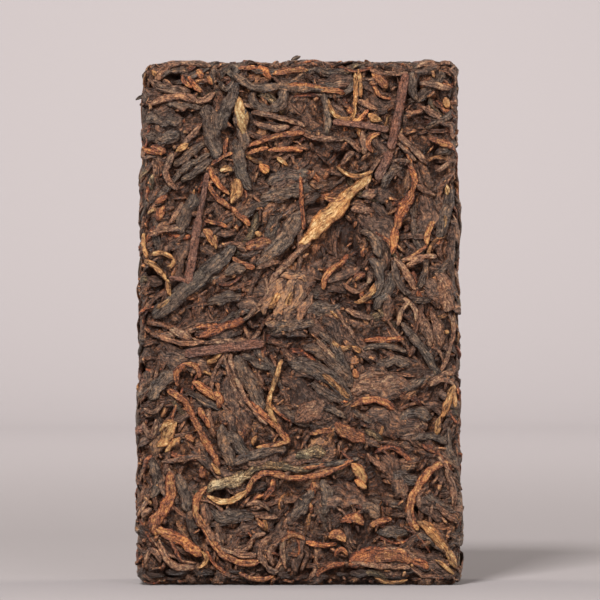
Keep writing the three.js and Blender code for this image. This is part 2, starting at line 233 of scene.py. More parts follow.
COOL_TINT = (0.75, 0.82, 0.82, 1)
PLAIN_TINT = (1, 0.985, 0.93, 1)
RUST_TINT = (1.15, 0.94, 0.74, 1)
NO_TINT = (1, 1, 1, 1)
# The brown that painted shade takes in deep places.
PAINTED_SHADE_TINT = (0.80, 0.56, 0.36, 1)
STREAK_STRETCH = (4, 17, 1)
CREASE_WIDTH = 0.035
PATCH_SCALE = 760
BLOTCH_SCALE = 1250
GRAIN_SCALE = 2600
SHEEN = 0.32
RELIEF_STRENGTH = 0.8
RELIEF_DEPTH = 0.0012


def leaf_finish(name, dark, middle, light, tip, roughness=0.5, blotch=1.44, streaks=1.5, grit=2.85):
    """Dried leaf: a ramp from dark over middle and light to tip, read at the leaf's tone, shifted by fine
    streaks along the leaf, by soft blotches, by grit and by creases, lines of painted shade which run where
    a stretched noise passes through its mean. Patches, partly of each leaf's own, tint it cooler or
    rustier. Painted shade makes it darker the deeper it lies, slightly lighter near the face, and browner
    from half a millimetre down. The streaks, the grit and the creases are raised as well, and the first two
    make the sheen uneven."""
    finish = bpy.data.materials.new(name)
    finish.use_nodes = True
    tree = finish.node_tree
    shader = tree.nodes["Principled BSDF"]
    add, link = tree.nodes.new, tree.links.new

    def reckoned(operation, *terms):
        node = add("ShaderNodeMath")
        node.operation = operation
        for socket, term in zip(node.inputs, terms):
            if isinstance(term, float):
                socket.default_value = term
            else:
                link(term, socket)
        return node.outputs[0]

    def with_share(part, factor, rest):
        return reckoned("MULTIPLY_ADD", part, factor, rest)

    def noise(vector, scale, detail, rough=0.55):
        node = add("ShaderNodeTexNoise")
        node.inputs["Scale"].default_value = scale
        node.inputs["Detail"].default_value = detail
        node.inputs["Roughness"].default_value = rough
        link(vector, node.inputs["Vector"])
        return reckoned("SUBTRACT", node.outputs["Fac"], 0.5)

    def spread(value, low, high, at_low, at_high):
        node = add("ShaderNodeMapRange")
        node.inputs["From Min"].default_value = low
        node.inputs["From Max"].default_value = high
        node.inputs["To Min"].default_value = at_low
        node.inputs["To Max"].default_value = at_high
        link(value, node.inputs["Value"])
        return node.outputs["Result"]

    def attribute(label):
        node = add("ShaderNodeAttribute")
        node.attribute_name = label
        return node.outputs["Fac"]

    def ramp(value, first, last, *between):
        node = add("ShaderNodeValToRGB")
        elements = node.color_ramp.elements
        elements[0].position, elements[0].color = first
        elements[1].position, elements[1].color = last
        for position, colour in between:
            elements.new(position).color = colour
        link(value, node.inputs["Fac"])
        return node.outputs["Color"]

    def multiplied(a, b):
        node = add("ShaderNodeMix")
        node.data_type = "RGBA"
        node.blend_type = "MULTIPLY"
        node.inputs["Factor"].default_value = 1.0
        link(a, node.inputs["A"])
        link(b, node.inputs["B"])
        return node.outputs["Result"]

    place = add("ShaderNodeUVMap")
    place.uv_map = "UVMap"
    stretch = add("ShaderNodeMapping")
    stretch.inputs["Scale"].default_value = STREAK_STRETCH
    link(place.outputs["UV"], stretch.inputs["Vector"])
    where = add("ShaderNodeTexCoord").outputs["Object"]
    tone, sunk = attribute("tone"), attribute("sunk")
    fibres = noise(stretch.outputs["Vector"], 1.0, 4, 0.6)
    blotches = noise(where, BLOTCH_SCALE, 4)
    grains = noise(where, GRAIN_SCALE, 4, 0.75)
    folds = reckoned("ABSOLUTE", noise(stretch.outputs["Vector"], 0.62, 1.5))
    creases = spread(folds, 0.0, CREASE_WIDTH, -1.0, 0.0)
    value = with_share(fibres, streaks, tone)
    value = with_share(blotches, blotch, value)
    value = with_share(grains, grit, value)
    # Painted shade: the crease lines are darkened.
    value = with_share(creases, 0.32, value)
    # Painted shade: darker the deeper the point lies, slightly lighter near the face.
    value = reckoned("ADD", value, spread(sunk, 0.2, 1.5, 0.08, -0.36))
    leaf = ramp(value, (0, (*dark, 1)), (1, (*tip, 1)), (0.4, (*middle, 1)), (0.75, (*light, 1)))
    patch = with_share(noise(where, PATCH_SCALE, 3, 0.6), 0.55, spread(fibres, -0.3, 0.3, 0.43, 0.57))
    patch = with_share(noise(place.outputs["UV"], 1.3, 1), 0.7, patch)
    patches = ramp(patch, (0.34, COOL_TINT), (0.68, RUST_TINT), (0.5, PLAIN_TINT))
    # Painted shade: tinted brown from half a millimetre down.
    deep = ramp(spread(sunk, 0.5, 1.7, 0.0, 1.0), (0, NO_TINT), (1, PAINTED_SHADE_TINT))
    link(multiplied(multiplied(leaf, patches), deep), shader.inputs["Base Color"])

    uneven = with_share(grains, 0.8, fibres)
    link(spread(uneven, -0.25, 0.25, roughness - 0.16, roughness + 0.2), shader.inputs["Roughness"])
    shader.inputs["Specular IOR Level"].default_value = SHEEN
    relief = add("ShaderNodeBump")
    relief.inputs["Strength"].default_value = RELIEF_STRENGTH
    relief.inputs["Distance"].default_value = RELIEF_DEPTH
    link(with_share(creases, 0.2, with_share(grains, 0.3, fibres)), relief.inputs["Height"])
    link(relief.outputs["Normal"], shader.inputs["Normal"])
    return finish


def finish_piece(piece, finish):
    """Gives a piece its finish and fixes it to the brick."""
    piece.data.materials.append(finish)
    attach(piece, "root")


def hollowness(across, up, hollows=HOLLOWS):
    """How far a place on the front face lies in a hollow: a bell curve of its distance from the nearest
    one's middle, measured in that hollow's half width and half height."""
    x, z, half_width, half_height = hollows.T
    far = ((across[..., None] - x) / half_width) ** 2 + ((up[..., None] - z) / half_height) ** 2
    return np.exp(-far.min(-1))


body_points, body_normals = body_grid(BODY_CELL, BODY_SUNK)
rise, body_tone, body_streak = pressed_leaves(body_points, body_normals, np.random.default_rng(11))
faces_front = body_normals[..., 1] < -0.7
faces_down = body_normals[..., 2] < -0.99
rise = rise - HOLLOW_DEPTH * hollowness(body_points[..., 0], body_points[..., 2]) * faces_front
uneven = unevenness(body_points) * (np.abs(body_normals) @ UNEVEN)
body_points = body_points + body_normals * (rise + uneven)[..., None]
body_points[..., 2] = np.where(faces_down, 0, np.maximum(body_points[..., 2], 0))
body_points[..., 0] *= taper_at(body_points[..., 2])
body_points = worn(body_points)
rings, around = body_points.shape[:2]
poles = np.array([[0, 0, 0], [0, 0, HEIGHT - BODY_SUNK]])
# The finish paints shade from how deep each point of the body lies under the face, so the hollows are darker
# as well as deeper.
pressed_body = leaf_mesh(
    "pressed_body",
    np.concatenate([body_points.reshape(-1, 3), poles]),
    closed_rings(rings, around, rings * around, rings * around + 1),
    np.concatenate([body_streak.reshape(-1, 2), np.zeros((2, 2))]),
    np.append(DARKEST_TONE + TONE_RANGE * body_tone.ravel(), [0.3, 0.3]),
    np.append((BODY_SUNK - rise).ravel(), [1, 1]),
)
finish_piece(pressed_body, leaf_finish(
    "packed_leaf", (0.027, 0.013, 0.008), (0.098, 0.050, 0.032), (0.185, 0.093, 0.053), (0.33, 0.165, 0.076)))
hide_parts("tea_brick")

# Dark leaves: the big, oldest leaves of the shoot, near black with a grey bloom. They were rolled or folded
# lengthwise, so pleats run along them, and the mould's wall pressed their backs level. A row, as in all the
# lists below, has a leaf's start, middle and end, each across and up, then its width and how pale it is.
DARK_BLADES = [
    (-17.6, 91.4, -16.6, 86.4, -15.6, 80.8, 3.6, 0.2), (-15.5, 86.5, -13.6, 91, -11.8, 95.6, 2.6, 0.15),
    (-11.6, 84.4, -11.2, 79.4, -9.2, 75, 2.7, 0.5), (-27.8, 50.8, -20.6, 57, -12, 64.4, 3.2, 0.3),
    (-8.2, 60.6, -3.4, 65.2, 0.6, 71.4, 3.4, 0.55), (28.8, 75.4, 28, 71, 26.3, 66, 2.5, 0.25),
    (-14, 58.8, -12, 60.3, -10.2, 59.8, 2.4, 0.5), (13.4, 62.2, 15.4, 57.7, 12.2, 54.1, 1.9, 0.35),
    (18, 61.8, 18.8, 57.8, 21.2, 55, 1.4, 0.25), (20.8, 55, 22.8, 54.2, 25, 54.2, 1.4, 0.25),
    (19.3, 49.9, 22.6, 46, 26.7, 39.6, 1.7, 0.4), (12, 45, 15.7, 45.5, 20.4, 44.4, 1.1, 0.35),
    (-12.6, 97.4, -9, 94.9, -3.4, 95, 1.7, 0.6), (-4.6, 95, 2, 94.4, 8.8, 95.6, 1.6, 0.5),
    (-1.8, 42.2, 4.4, 40.4, 9.8, 35, 3.2, 0.3), (0.8, 45.6, 6, 42.8, 10.2, 37.6, 2.6, 0.25),
    (-12.2, 43.6, -9.8, 39.4, -6.8, 33.4, 3.0, 0.5), (-14.9, 30.6, -14, 26.4, -12.6, 22.6, 2.6, 0.6),
    (-12.6, 23, -8, 25, -2.4, 26, 2.0, 0.45),
]
DARK_LEAVES = [
    (-26.5, 96.5, -24, 98, -21, 97.6, 1.2, 0.3), (-16.5, 98.5, -16.3, 96.5, -16.8, 95, 1.2, 0.3),
    (-25.5, 91.4, -22, 91.2, -18.5, 90.6, 1.1, 0.4), (-15.2, 96, -13.8, 97.8, -12.4, 96, 1.3, 0.5),
    (-15.2, 96, -13.9, 94.4, -12.4, 96, 1.2, 0.4), (-13.7, 98.7, -12.6, 98.9, -11.4, 98.4, 1.0, 0.4),
    (-9.4, 98.6, -6, 97.4, -2.4, 98.2, 1.4, 0.4), (2.4, 98.4, 5.6, 97.4, 9, 98, 1.4, 0.4),
    (-9.3, 93.7, -7.5, 90.8, -5, 90.2, 2.1, 0.35), (-2.8, 94.7, -3.5, 92, -5.6, 90, 2.6, 0.35),
    (-29.6, 88.6, -26, 88.8, -22, 88.2, 3.2, 0.25), (-29.4, 85.4, -26, 85.2, -22.4, 85.8, 3.0, 0.2),
    (-23.8, 79.5, -20.5, 82.3, -17.6, 84, 1.8, 0.4), (-23.5, 78, -20, 80.3, -17, 82.2, 1.6, 0.45),
    (-22.5, 76.6, -19.5, 78.8, -16.6, 80.9, 1.5, 0.4), (4.5, 93.5, 5.3, 90, 5.2, 85.6, 1.4, 0.7),
    (24.0, 86.6, 26.5, 88.2, 29.7, 90, 1.5, 0.35), (21.8, 97.8, 21.4, 94.6, 22.6, 92, 2.0, 0.3),
    (-19.8, 74.6, -21.4, 70.7, -23.2, 66.8, 2.7, 0.3), (24.4, 62.4, 23.7, 59.2, 22.5, 56.2, 1.4, 0.3),
    (-21.4, 36.8, -18, 35.1, -14.6, 33, 1.6, 0.25), (-11.4, 91.4, -10.9, 86.8, -10.6, 82, 2.6, 0.6),
    (-11, 44.2, -8.5, 42.4, -5.2, 41.3, 1.7, 0.25), (-23.4, 41, -26, 38.6, -28.8, 35.2, 3.2, 0.6),
    (3.8, 48.2, 7, 45, 9.2, 39.6, 1.9, 0.35), (2.2, 38.2, 5.5, 36.4, 8.8, 34.3, 2.0, 0.15),
    (3.8, 34.2, 6.5, 33.2, 9.2, 31.8, 1.3, 0.4), (21.2, 27.6, 25, 28.4, 28.3, 26.6, 1.5, 0.35),
    (-0.4, 22.2, 6, 23.1, 11.6, 24, 1.1, 0.3), (4.2, 20.4, 5.3, 17, 4.8, 13.1, 2.5, 0.7),
    (17.4, 20.8, 20, 20.6, 22.8, 19.6, 2.7, 0.3), (-17.4, 14, -13, 13, -8.6, 13.6, 3.0, 0.35),
    (12.2, 15.7, 13.8, 14.3, 15.3, 12.5, 2.8, 0.6), (-29, 24.6, -27, 21, -28.4, 16.4, 2.2, 0.35),
    (-22.6, 21.8, -22, 17.6, -20.6, 14, 2.4, 0.35), (11.6, 67.6, 14.4, 65.6, 15.4, 62, 2.4, 0.5),
    (-6.2, 76.6, -2.6, 77.8, 2.2, 78.4, 2.6, 0.45), (-7.4, 73.2, -3, 74.6, 2.6, 75.2, 2.8, 0.5),
    (14.6, 41.8, 17.6, 42.6, 21.4, 41.6, 2.2, 0.45), (0.4, 53.6, 3.6, 52.4, 8, 53.4, 3.0, 0.5),
    (-5.4, 48, -1.6, 49.6, 3, 49.2, 2.6, 0.45), (14, 52.4, 16.4, 55.6, 17.6, 59.4, 2.4, 0.4),
    (-17.6, 53.4, -14.4, 54.6, -10.6, 54.4, 2.4, 0.4), (15.6, 75, 17.2, 78, 19.6, 79.6, 2.2, 0.4),
    (-2, 12.6, 0.6, 15, 2.4, 18.6, 2.6, 0.4), (14.8, 9.6, 17.6, 10.4, 20.6, 9.4, 2.4, 0.35),
    (-14.6, 28.8, -11.8, 27.2, -10, 24.4, 2.6, 0.4), (18.6, 31.2, 22, 32.6, 25.4, 32, 2.6, 0.4),
]
# Two loose tips stand out of the outline, at the upper left corner and on the top edge, and lie some way
# back from the front.
LOOSE_TIPS = [(-29.6, 90.9, -30.2, 93.3, -31.4, 92.5, 0.9, 0.1), (-1.6, 98.4, -1, 100, 0.3, 100.7, 0.9, 0.2)]
LOOSE_TIP_LEVEL = -4
DARK_FILL = {"front": 38, "back": 50, "left": 12, "right": 12, "top": 8}
FOOT_STRANDS = {"front": 14, "back": 14, "left": 5, "right": 5}
FOOT_BAND = (0.9, 2.6)
FOOT_JITTER = 1.0
FOOT_TIP_JITTER = 0.6
LIE_REACH = 4.5
HOLLOW_RIM = 0.3
# Strewn leaves keep clear of the largest bud, the palest one, a dark blade and an orange leaf.
KEPT_CLEAR = np.array([
    (2.4, 66.9, 2.0, 2.0), (5.4, 70, 2.8, 2.8), (9, 73.8, 2.4, 2.4), (12.4, 76.8, 1.8, 1.8),
    (-11, 90, 1.4, 3.0), (-16, 85.6, 1.6, 4.0), (11.4, 20.8, 1.4, 2.2),
])
CLEAR_RIM = 0.37
# The level over a face from which the mould's wall pressed the leaves down, how far they still rise over
# it, and how much more the leaves' own levels differ on a face than their range says.
PRESS_START = {"front": -0.2, "back": -0.26, "left": -0.3, "right": -0.1, "top": -0.5}
PRESS_ROOM = 0.36
LEVEL_SPREAD = {"front": 0, "back": 0, "left": 0.2, "right": 0.25, "top": 0.2}
STRAND_ENDS = (0.015, 0.985)
STRAND_CROWDING = 0.4
STRAND_WAVER = ((6.5, 0.08), (2.9, 0.05))
STRAND_SWELL = ((5, 0.1), (2.2, 0.07), (1.1, 0.04))
STRAND_HALF_THICK = (0.24, 0.62)
STRAND_UNDERSIDE = np.array([(0.65, -0.75), (0, -1), (-0.65, -0.75)])
PLEAT_PITCH = 0.62
PLEAT_LIMIT = 0.6
PLEAT_SHADE = 1.9
RIM_SHADE = 1.4
MIDDLE_TONE = 0.45
TONE_SPREAD = 0.52
# For each face: the directions across it, up it and out of it, and which of the brick's sizes those are.
FACES = {
    "front": ((1, 0, 0), (0, 0, 1), (0, -1, 0), (0, 2, 1)),
    "back": ((-1, 0, 0), (0, 0, 1), (0, 1, 0), (0, 2, 1)),
    "right": ((0, 1, 0), (0, 0, 1), (1, 0, 0), (1, 2, 0)),
    "left": ((0, -1, 0), (0, 0, 1), (-1, 0, 0), (1, 2, 0)),
    "top": ((1, 0, 0), (0, 1, 0), (0, 0, 1), (0, 1, 2)),
}


def over_edge(distance, half_size):
    """A distance over a face, bent round the brick's edge: straight as far as the rounding, then along an
    arc of the edge's radius, then straight down the next face. Returns reach, drop and lean."""
    straight = half_size - EDGE_RADIUS
    over = np.maximum(np.abs(distance) - straight, 0)
    turn = np.minimum(over / EDGE_RADIUS, math.pi / 2)
    beyond = np.maximum(over - EDGE_RADIUS * math.pi / 2, 0)
    side = np.sign(distance)
    reach = side * (np.minimum(np.abs(distance), straight) + EDGE_RADIUS * np.sin(turn))
    return reach, EDGE_RADIUS * (1 - np.cos(turn)) + beyond, side * turn


def on_face(face, across, up, height, bent=True):
    """Points at a height over a face, at distances across and up from its middle, bent round its edges
    unless told not to be, and drawn in with the brick's taper."""
    axis_across, axis_up, axis_out, order = FACES[face]
    half_across, half_up, half_out = HALF[list(order)]
    reach_a, drop_a, lean_a = over_edge(across, half_across) if bent else (across, 0, 0)
    reach_u, drop_u, lean_u = over_edge(up, half_up) if bent else (up, 0, 0)
    place = (across[..., None] * np.array(axis_across, float) + up[..., None] * np.array(axis_up, float)
             + half_out * np.array(axis_out, float) + [0, 0, MIDDLE_UP])
    height = height + unevenness(place) * (np.abs(axis_out) @ UNEVEN)
    points = (
        (reach_a + height * np.sin(lean_a))[..., None] * np.array(axis_across, float)
        + (reach_u + height * np.sin(lean_u))[..., None] * np.array(axis_up, float)
        + (half_out - drop_a - drop_u + height * np.cos(lean_a) * np.cos(lean_u))[..., None]
        * np.array(axis_out, float)
    )
    points[..., 2] = np.maximum(points[..., 2] + MIDDLE_UP, 0)
    points[..., 0] *= taper_at(points[..., 2])
    return worn(points)


def photo_rows(rows):
    """Rows whose places were read off the photograph, across from the middle line and up from the
    foot, as distances over the front face before it is drawn in by the taper."""
    rows = np.array(rows, float)
    for start in (0, 2, 4):
        rows[:, start] /= taper_at(rows[:, start + 1])
        rows[:, start + 1] -= MIDDLE_UP
    return rows


def lie_of(guides, across, up):
    """The direction in which the tea lies at places on a face: the mean of the guides' directions, each
    weighted by its length and by a bell curve of its distance. The angles are doubled before they are
    averaged, as a strand has no head or tail."""
    step = guides[:, 4:6] - guides[:, 0:2]
    double = 2 * np.arctan2(step[:, 1], step[:, 0])
    apart = (across[:, None] - guides[:, 2]) ** 2 + (up[:, None] - guides[:, 3]) ** 2
    weight = np.exp(-apart / (2 * LIE_REACH ** 2)) * np.hypot(*step.T)
    return np.arctan2(weight @ np.sin(double), weight @ np.cos(double)) / 2


def strewn_rows(face, count, length, width, tone, rng, bow=0.3, guides=None, stray=0.35):
    """Rows for strands strewn over a face: one in each cell of a grid, anywhere in it, and bowed to one side
    by a share of its length. It lies as its guides do, but for a normal deviate of stray radians, or anyhow
    if there are none. On the front those in hollows are left out, and those that would cross a place that
    is kept clear."""
    half_across, half_up = HALF[list(FACES[face][3])][:2]
    columns = max(1, round(math.sqrt(count * half_across / half_up)))
    lines = math.ceil(count / columns)
    column, line = np.meshgrid(np.arange(columns), np.arange(lines))
    place = rng.uniform(0, 1, (2, lines, columns))
    across = (((column + place[0]) / columns * 2 - 1) * half_across).ravel()
    up = (((line + place[1]) / lines * 2 - 1) * half_up).ravel()
    number = len(across)
    heading = rng.uniform(0, math.pi, number)
    if guides is not None:
        heading = lie_of(guides, across, up) + rng.normal(0, stray, number)
    reach = rng.uniform(*length, number) / 2
    bend = rng.uniform(-bow, bow, number) * reach * 2
    cosine, sine = np.cos(heading), np.sin(heading)
    rows = np.stack([
        across - cosine * reach, up - sine * reach, across - sine * bend, up + cosine * bend,
        across + cosine * reach, up + sine * reach, rng.uniform(*width, number), rng.uniform(*tone, number),
    ], 1)
    if face == "front":
        rows = rows[hollowness(across, up + MIDDLE_UP) < HOLLOW_RIM]
        for start in (0, 2, 4):
            over = hollowness(rows[:, start], rows[:, start + 1] + MIDDLE_UP, KEPT_CLEAR)
            rows = rows[over < CLEAR_RIM]
    return rows


def foot_rows(face, count, length, width, tone, rng):
    """Rows for strands that lie about level along the foot of an upright face, evenly spread along it but
    for normal deviates of their places and of their tips' heights."""
    half_across = HALF[FACES[face][3][0]]
    across = np.linspace(-half_across, half_across, count) + rng.normal(0, FOOT_JITTER, count)
    up = rng.uniform(*FOOT_BAND, count) - MIDDLE_UP
    reach = rng.uniform(*length, count) / 2
    tip = rng.normal(0, FOOT_TIP_JITTER, (2, count))
    return np.stack([
        across - reach, up + tip[0], across, up, across + reach, up + tip[1],
        rng.uniform(*width, count), rng.uniform(*tone, count),
    ], 1)


def laid_strands(face, rows, rng, stations=30, crown_points=11, crown=(-0.3, 0.0), thick=0.3,
                 pleat=0.2, twist=0.6, blunt=0.0, roll=0.3, wild=1.0, pressed=True, proud=0.0, sink=1.1):
    """Strands laid on a face. The middle line of each is the parabola through its row's three points, with
    a slight waver of two sines. Its section is an oval: the side goes as a cosine and the rise as a power
    of a sine, scaled by a width that narrows to the tips as one less a power of the distance from the
    middle, or as a root of the distance from the tip where it is blunt, and that swells and narrows as
    sines. Pleats are cut out of the crown as powers of a sine across the strand, and drift along it, with
    creases across them here and there. The section rolls slowly. The crown's level is drawn from its
    range, and the ends sink by the sixth power of the distance from the middle. What stands over the
    mould's wall is pressed down by a hyperbolic tangent, unless it is proud of it by as much. Returns
    points, triangles, streak places, tones and how deep each point lies under the face, with extra added
    in the pleats and at the rims as painted shade."""
    rows = np.asarray(rows, float)
    number = len(rows)
    start, middle, end = rows[:, None, 0:2], rows[:, None, 2:4], rows[:, None, 4:6]
    width, tone = rows[:, 6:7], rows[:, 7:8]
    first_leg = np.linalg.norm(middle - start, axis=2)
    span = first_leg + np.linalg.norm(end - middle, axis=2)
    knee = (first_leg / span)[..., None]
    even = np.linspace(*STRAND_ENDS, stations)
    crowded = 0.5 - 0.5 * np.cos(math.pi * even)
    t = ((1 - STRAND_CROWDING) * even + STRAND_CROWDING * crowded)[None, :]
    at = t[..., None]

    def draw(low, high):
        return rng.uniform(low, high, (number, 1))

    def wave(length, size):
        return size * np.sin(2 * math.pi * (span / length * t + draw(0, 1)))

    def with_tips(grid, tips):
        return np.concatenate([grid.reshape(number, -1), tips], 1)

    line = (start * (at - knee) * (at - 1) / knee + middle * at * (at - 1) / (knee * (knee - 1))
            + end * at * (at - knee) / (1 - knee))
    tangent = np.gradient(line, axis=1)
    tangent /= np.linalg.norm(tangent, axis=2, keepdims=True)
    beside = np.stack([-tangent[..., 1], tangent[..., 0]], -1)
    waver = wild * sum(wave(length, size * width) for length, size in STRAND_WAVER)
    line = line + beside * waver[..., None]

    point = np.clip(0.8 * span / width, 1.8, 7) * draw(0.7, 1.2)
    tapered = (1 - np.abs(2 * t ** draw(0.7, 1.4) - 1) ** point) ** 0.7
    stubby = np.minimum(1, np.minimum(t, 1 - t) * span / (0.35 * width)) ** 0.5
    fullness = tapered * (1 - blunt) + blunt * stubby
    half_width = width / 2 * fullness * (1 + wild * sum(wave(*swell) for swell in STRAND_SWELL))
    half_thick = np.clip(thick * width, *STRAND_HALF_THICK) * (0.35 + 0.65 * fullness)

    angle = np.linspace(math.pi, 0, crown_points)
    side = np.concatenate([np.cos(angle), STRAND_UNDERSIDE[:, 0]])[None, None, :]
    lift = np.concatenate([np.sin(angle) ** 0.6, STRAND_UNDERSIDE[:, 1]])[None, None, :]
    ribs = np.maximum(1.3, width / PLEAT_PITCH * draw(0.8, 1.25))[..., None]
    phase = (draw(0, 1) + draw(-twist, twist) * t * span / 8)[..., None]
    furrow = (1 - np.abs(np.sin(math.pi * (ribs * side / 2 + phase)))) ** 1.6
    crease = np.clip(wave(1.3, 1.0), 0, 1)[..., None] * np.cos(3 * side + phase)
    deepest = np.minimum(pleat, PLEAT_LIMIT * half_thick)[..., None]
    cut = np.clip(lift, 0, 1) ** 0.5 * deepest * (furrow + 0.25 * crease)
    sideways = half_width[..., None] * side
    lifted = half_thick[..., None] * lift - cut
    tilt = (draw(-roll, roll) + wave(9, roll * 0.5))[..., None] * np.minimum(1, 1.6 / width)[..., None]
    sideways, lifted = (sideways * np.cos(tilt) - lifted * np.sin(tilt),
                        sideways * np.sin(tilt) + lifted * np.cos(tilt))

    level = draw(crown[0] - LEVEL_SPREAD[face], crown[1] + LEVEL_SPREAD[face])
    axis = level - half_thick - sink * np.abs(2 * t - 1) ** 6 * pressed + wave(6, 0.1)
    height = axis[..., None] + lifted
    if pressed:
        limit = PRESS_START[face] + proud
        over = height - limit
        height = np.where(over > 0, limit + PRESS_ROOM * np.tanh(over / PRESS_ROOM), height)
    across = line[..., 0:1] + beside[..., 0:1] * sideways
    up = line[..., 1:2] + beside[..., 1:2] * sideways
    nose = 0.3 * half_width[:, [0, -1], None] * np.array([-1, 1])[None, :, None] * tangent[:, [0, -1]]
    tips = line[:, [0, -1]] + nose
    tip_axis = axis[:, [0, -1]]
    points = on_face(face, with_tips(across, tips[..., 0]), with_tips(up, tips[..., 1]),
                     with_tips(height, tip_axis), bent=pressed)
    # How deep each point lies under the face, with painted shade added: more in the pleats, and a dark
    # painted outline along each strand's rims.
    shade_depth = np.maximum(-height, 0) * pressed + PLEAT_SHADE * cut + RIM_SHADE * np.abs(side) ** 4
    shade_depth = with_tips(shade_depth, np.maximum(-tip_axis, 0) * pressed)

    around = len(angle) + len(STRAND_UNDERSIDE)
    each = stations * around + 2
    one = closed_rings(stations, around, each - 2, each - 1)
    triangles = (one[None] + (np.arange(number) * each)[:, None, None]).reshape(-1, 3)
    run = np.broadcast_to((t * span / STREAK_LENGTH)[..., None], (number, stations, around))
    place = np.stack([run + draw(0, 9)[..., None], sideways / STREAK_LENGTH + draw(0, 9)[..., None]], -1)
    place = np.concatenate([place.reshape(number, -1, 2), place[:, [0, -1], 0]], 1)
    shade = MIDDLE_TONE + TONE_SPREAD * (tone - MIDDLE_TONE) + wave(4, 0.06)
    shade = with_tips(np.repeat(shade, around, axis=1), shade[:, [0, -1]])
    return points.reshape(-1, 3), triangles, place.reshape(-1, 2), shade.ravel(), shade_depth.ravel()


def strewn_batches(counts, rng, guides, length, width, tone, bow=0.3, stray=0.35, **laying):
    """A batch of strewn strands for each face that has a count, laid in the manner given."""
    return [
        laid_strands(face, strewn_rows(face, count, length, width, tone, rng, bow, guides.get(face), stray),
                     rng, **laying)
        for face, count in counts.items()
    ]


def strand_piece(name, batches, finish):
    """One piece from several batches of strands, with the triangles renumbered one batch after another."""
    starts = np.cumsum([0] + [len(batch[0]) for batch in batches])
    piece = leaf_mesh(
        name,
        np.concatenate([batch[0] for batch in batches]),
        np.concatenate([batch[1] + start for batch, start in zip(batches, starts)]),
        *(np.concatenate([batch[k] for batch in batches]) for k in (2, 3, 4)),
    )
    finish_piece(piece, finish)


draw_dark = np.random.default_rng(21)
guides = {"front": photo_rows(DARK_BLADES + DARK_LEAVES)}
dark_batches = [
    laid_strands("front", photo_rows(DARK_BLADES), draw_dark, crown_points=15, crown=(0.1, 0.2), pleat=0.3,
                 wild=0.6, sink=0.3, blunt=0.45),
    laid_strands("front", photo_rows(DARK_LEAVES), draw_dark, crown_points=13, crown=(-0.12, 0.06),
                 pleat=0.24, sink=0.6, blunt=0.4),
    laid_strands("front", photo_rows(LOOSE_TIPS), draw_dark, stations=16, pressed=False,
                 crown=(LOOSE_TIP_LEVEL, LOOSE_TIP_LEVEL)),
]
for face, count in DARK_FILL.items():
    if face not in guides:
        guides[face] = strewn_rows(face, count, (8, 20), (1.6, 3.6), (0.2, 0.7), draw_dark)
        dark_batches.append(laid_strands(face, guides[face], draw_dark, stations=18, crown=(-0.4, 0.0)))
    rows = strewn_rows(face, count, (7, 16), (1.2, 2.8), (0.2, 0.7), draw_dark, guides=guides[face])
    dark_batches.append(laid_strands(face, rows, draw_dark, stations=16, crown_points=9,
                                     crown=(-0.7, -0.3), pleat=0.24))
for face, count in FOOT_STRANDS.items():
    # Foot strands take tones below the dark leaves' range, so they come out in the palette's darkest colour:
    # painted shade along the foot.
    rows = foot_rows(face, count, (2.6, 6), (0.9, 1.9), (-1.3, -0.3), draw_dark)
    dark_batches.append(laid_strands(face, rows, draw_dark, stations=16, crown_points=9,
                                     crown=(-0.7, -0.3)))
strand_piece("dark_leaves", dark_batches, leaf_finish(
    "dark_leaf", (0.025, 0.014, 0.010), (0.076, 0.051, 0.038), (0.142, 0.094, 0.066), (0.27, 0.162, 0.095),
    roughness=0.45, blotch=1.8, grit=2.47))

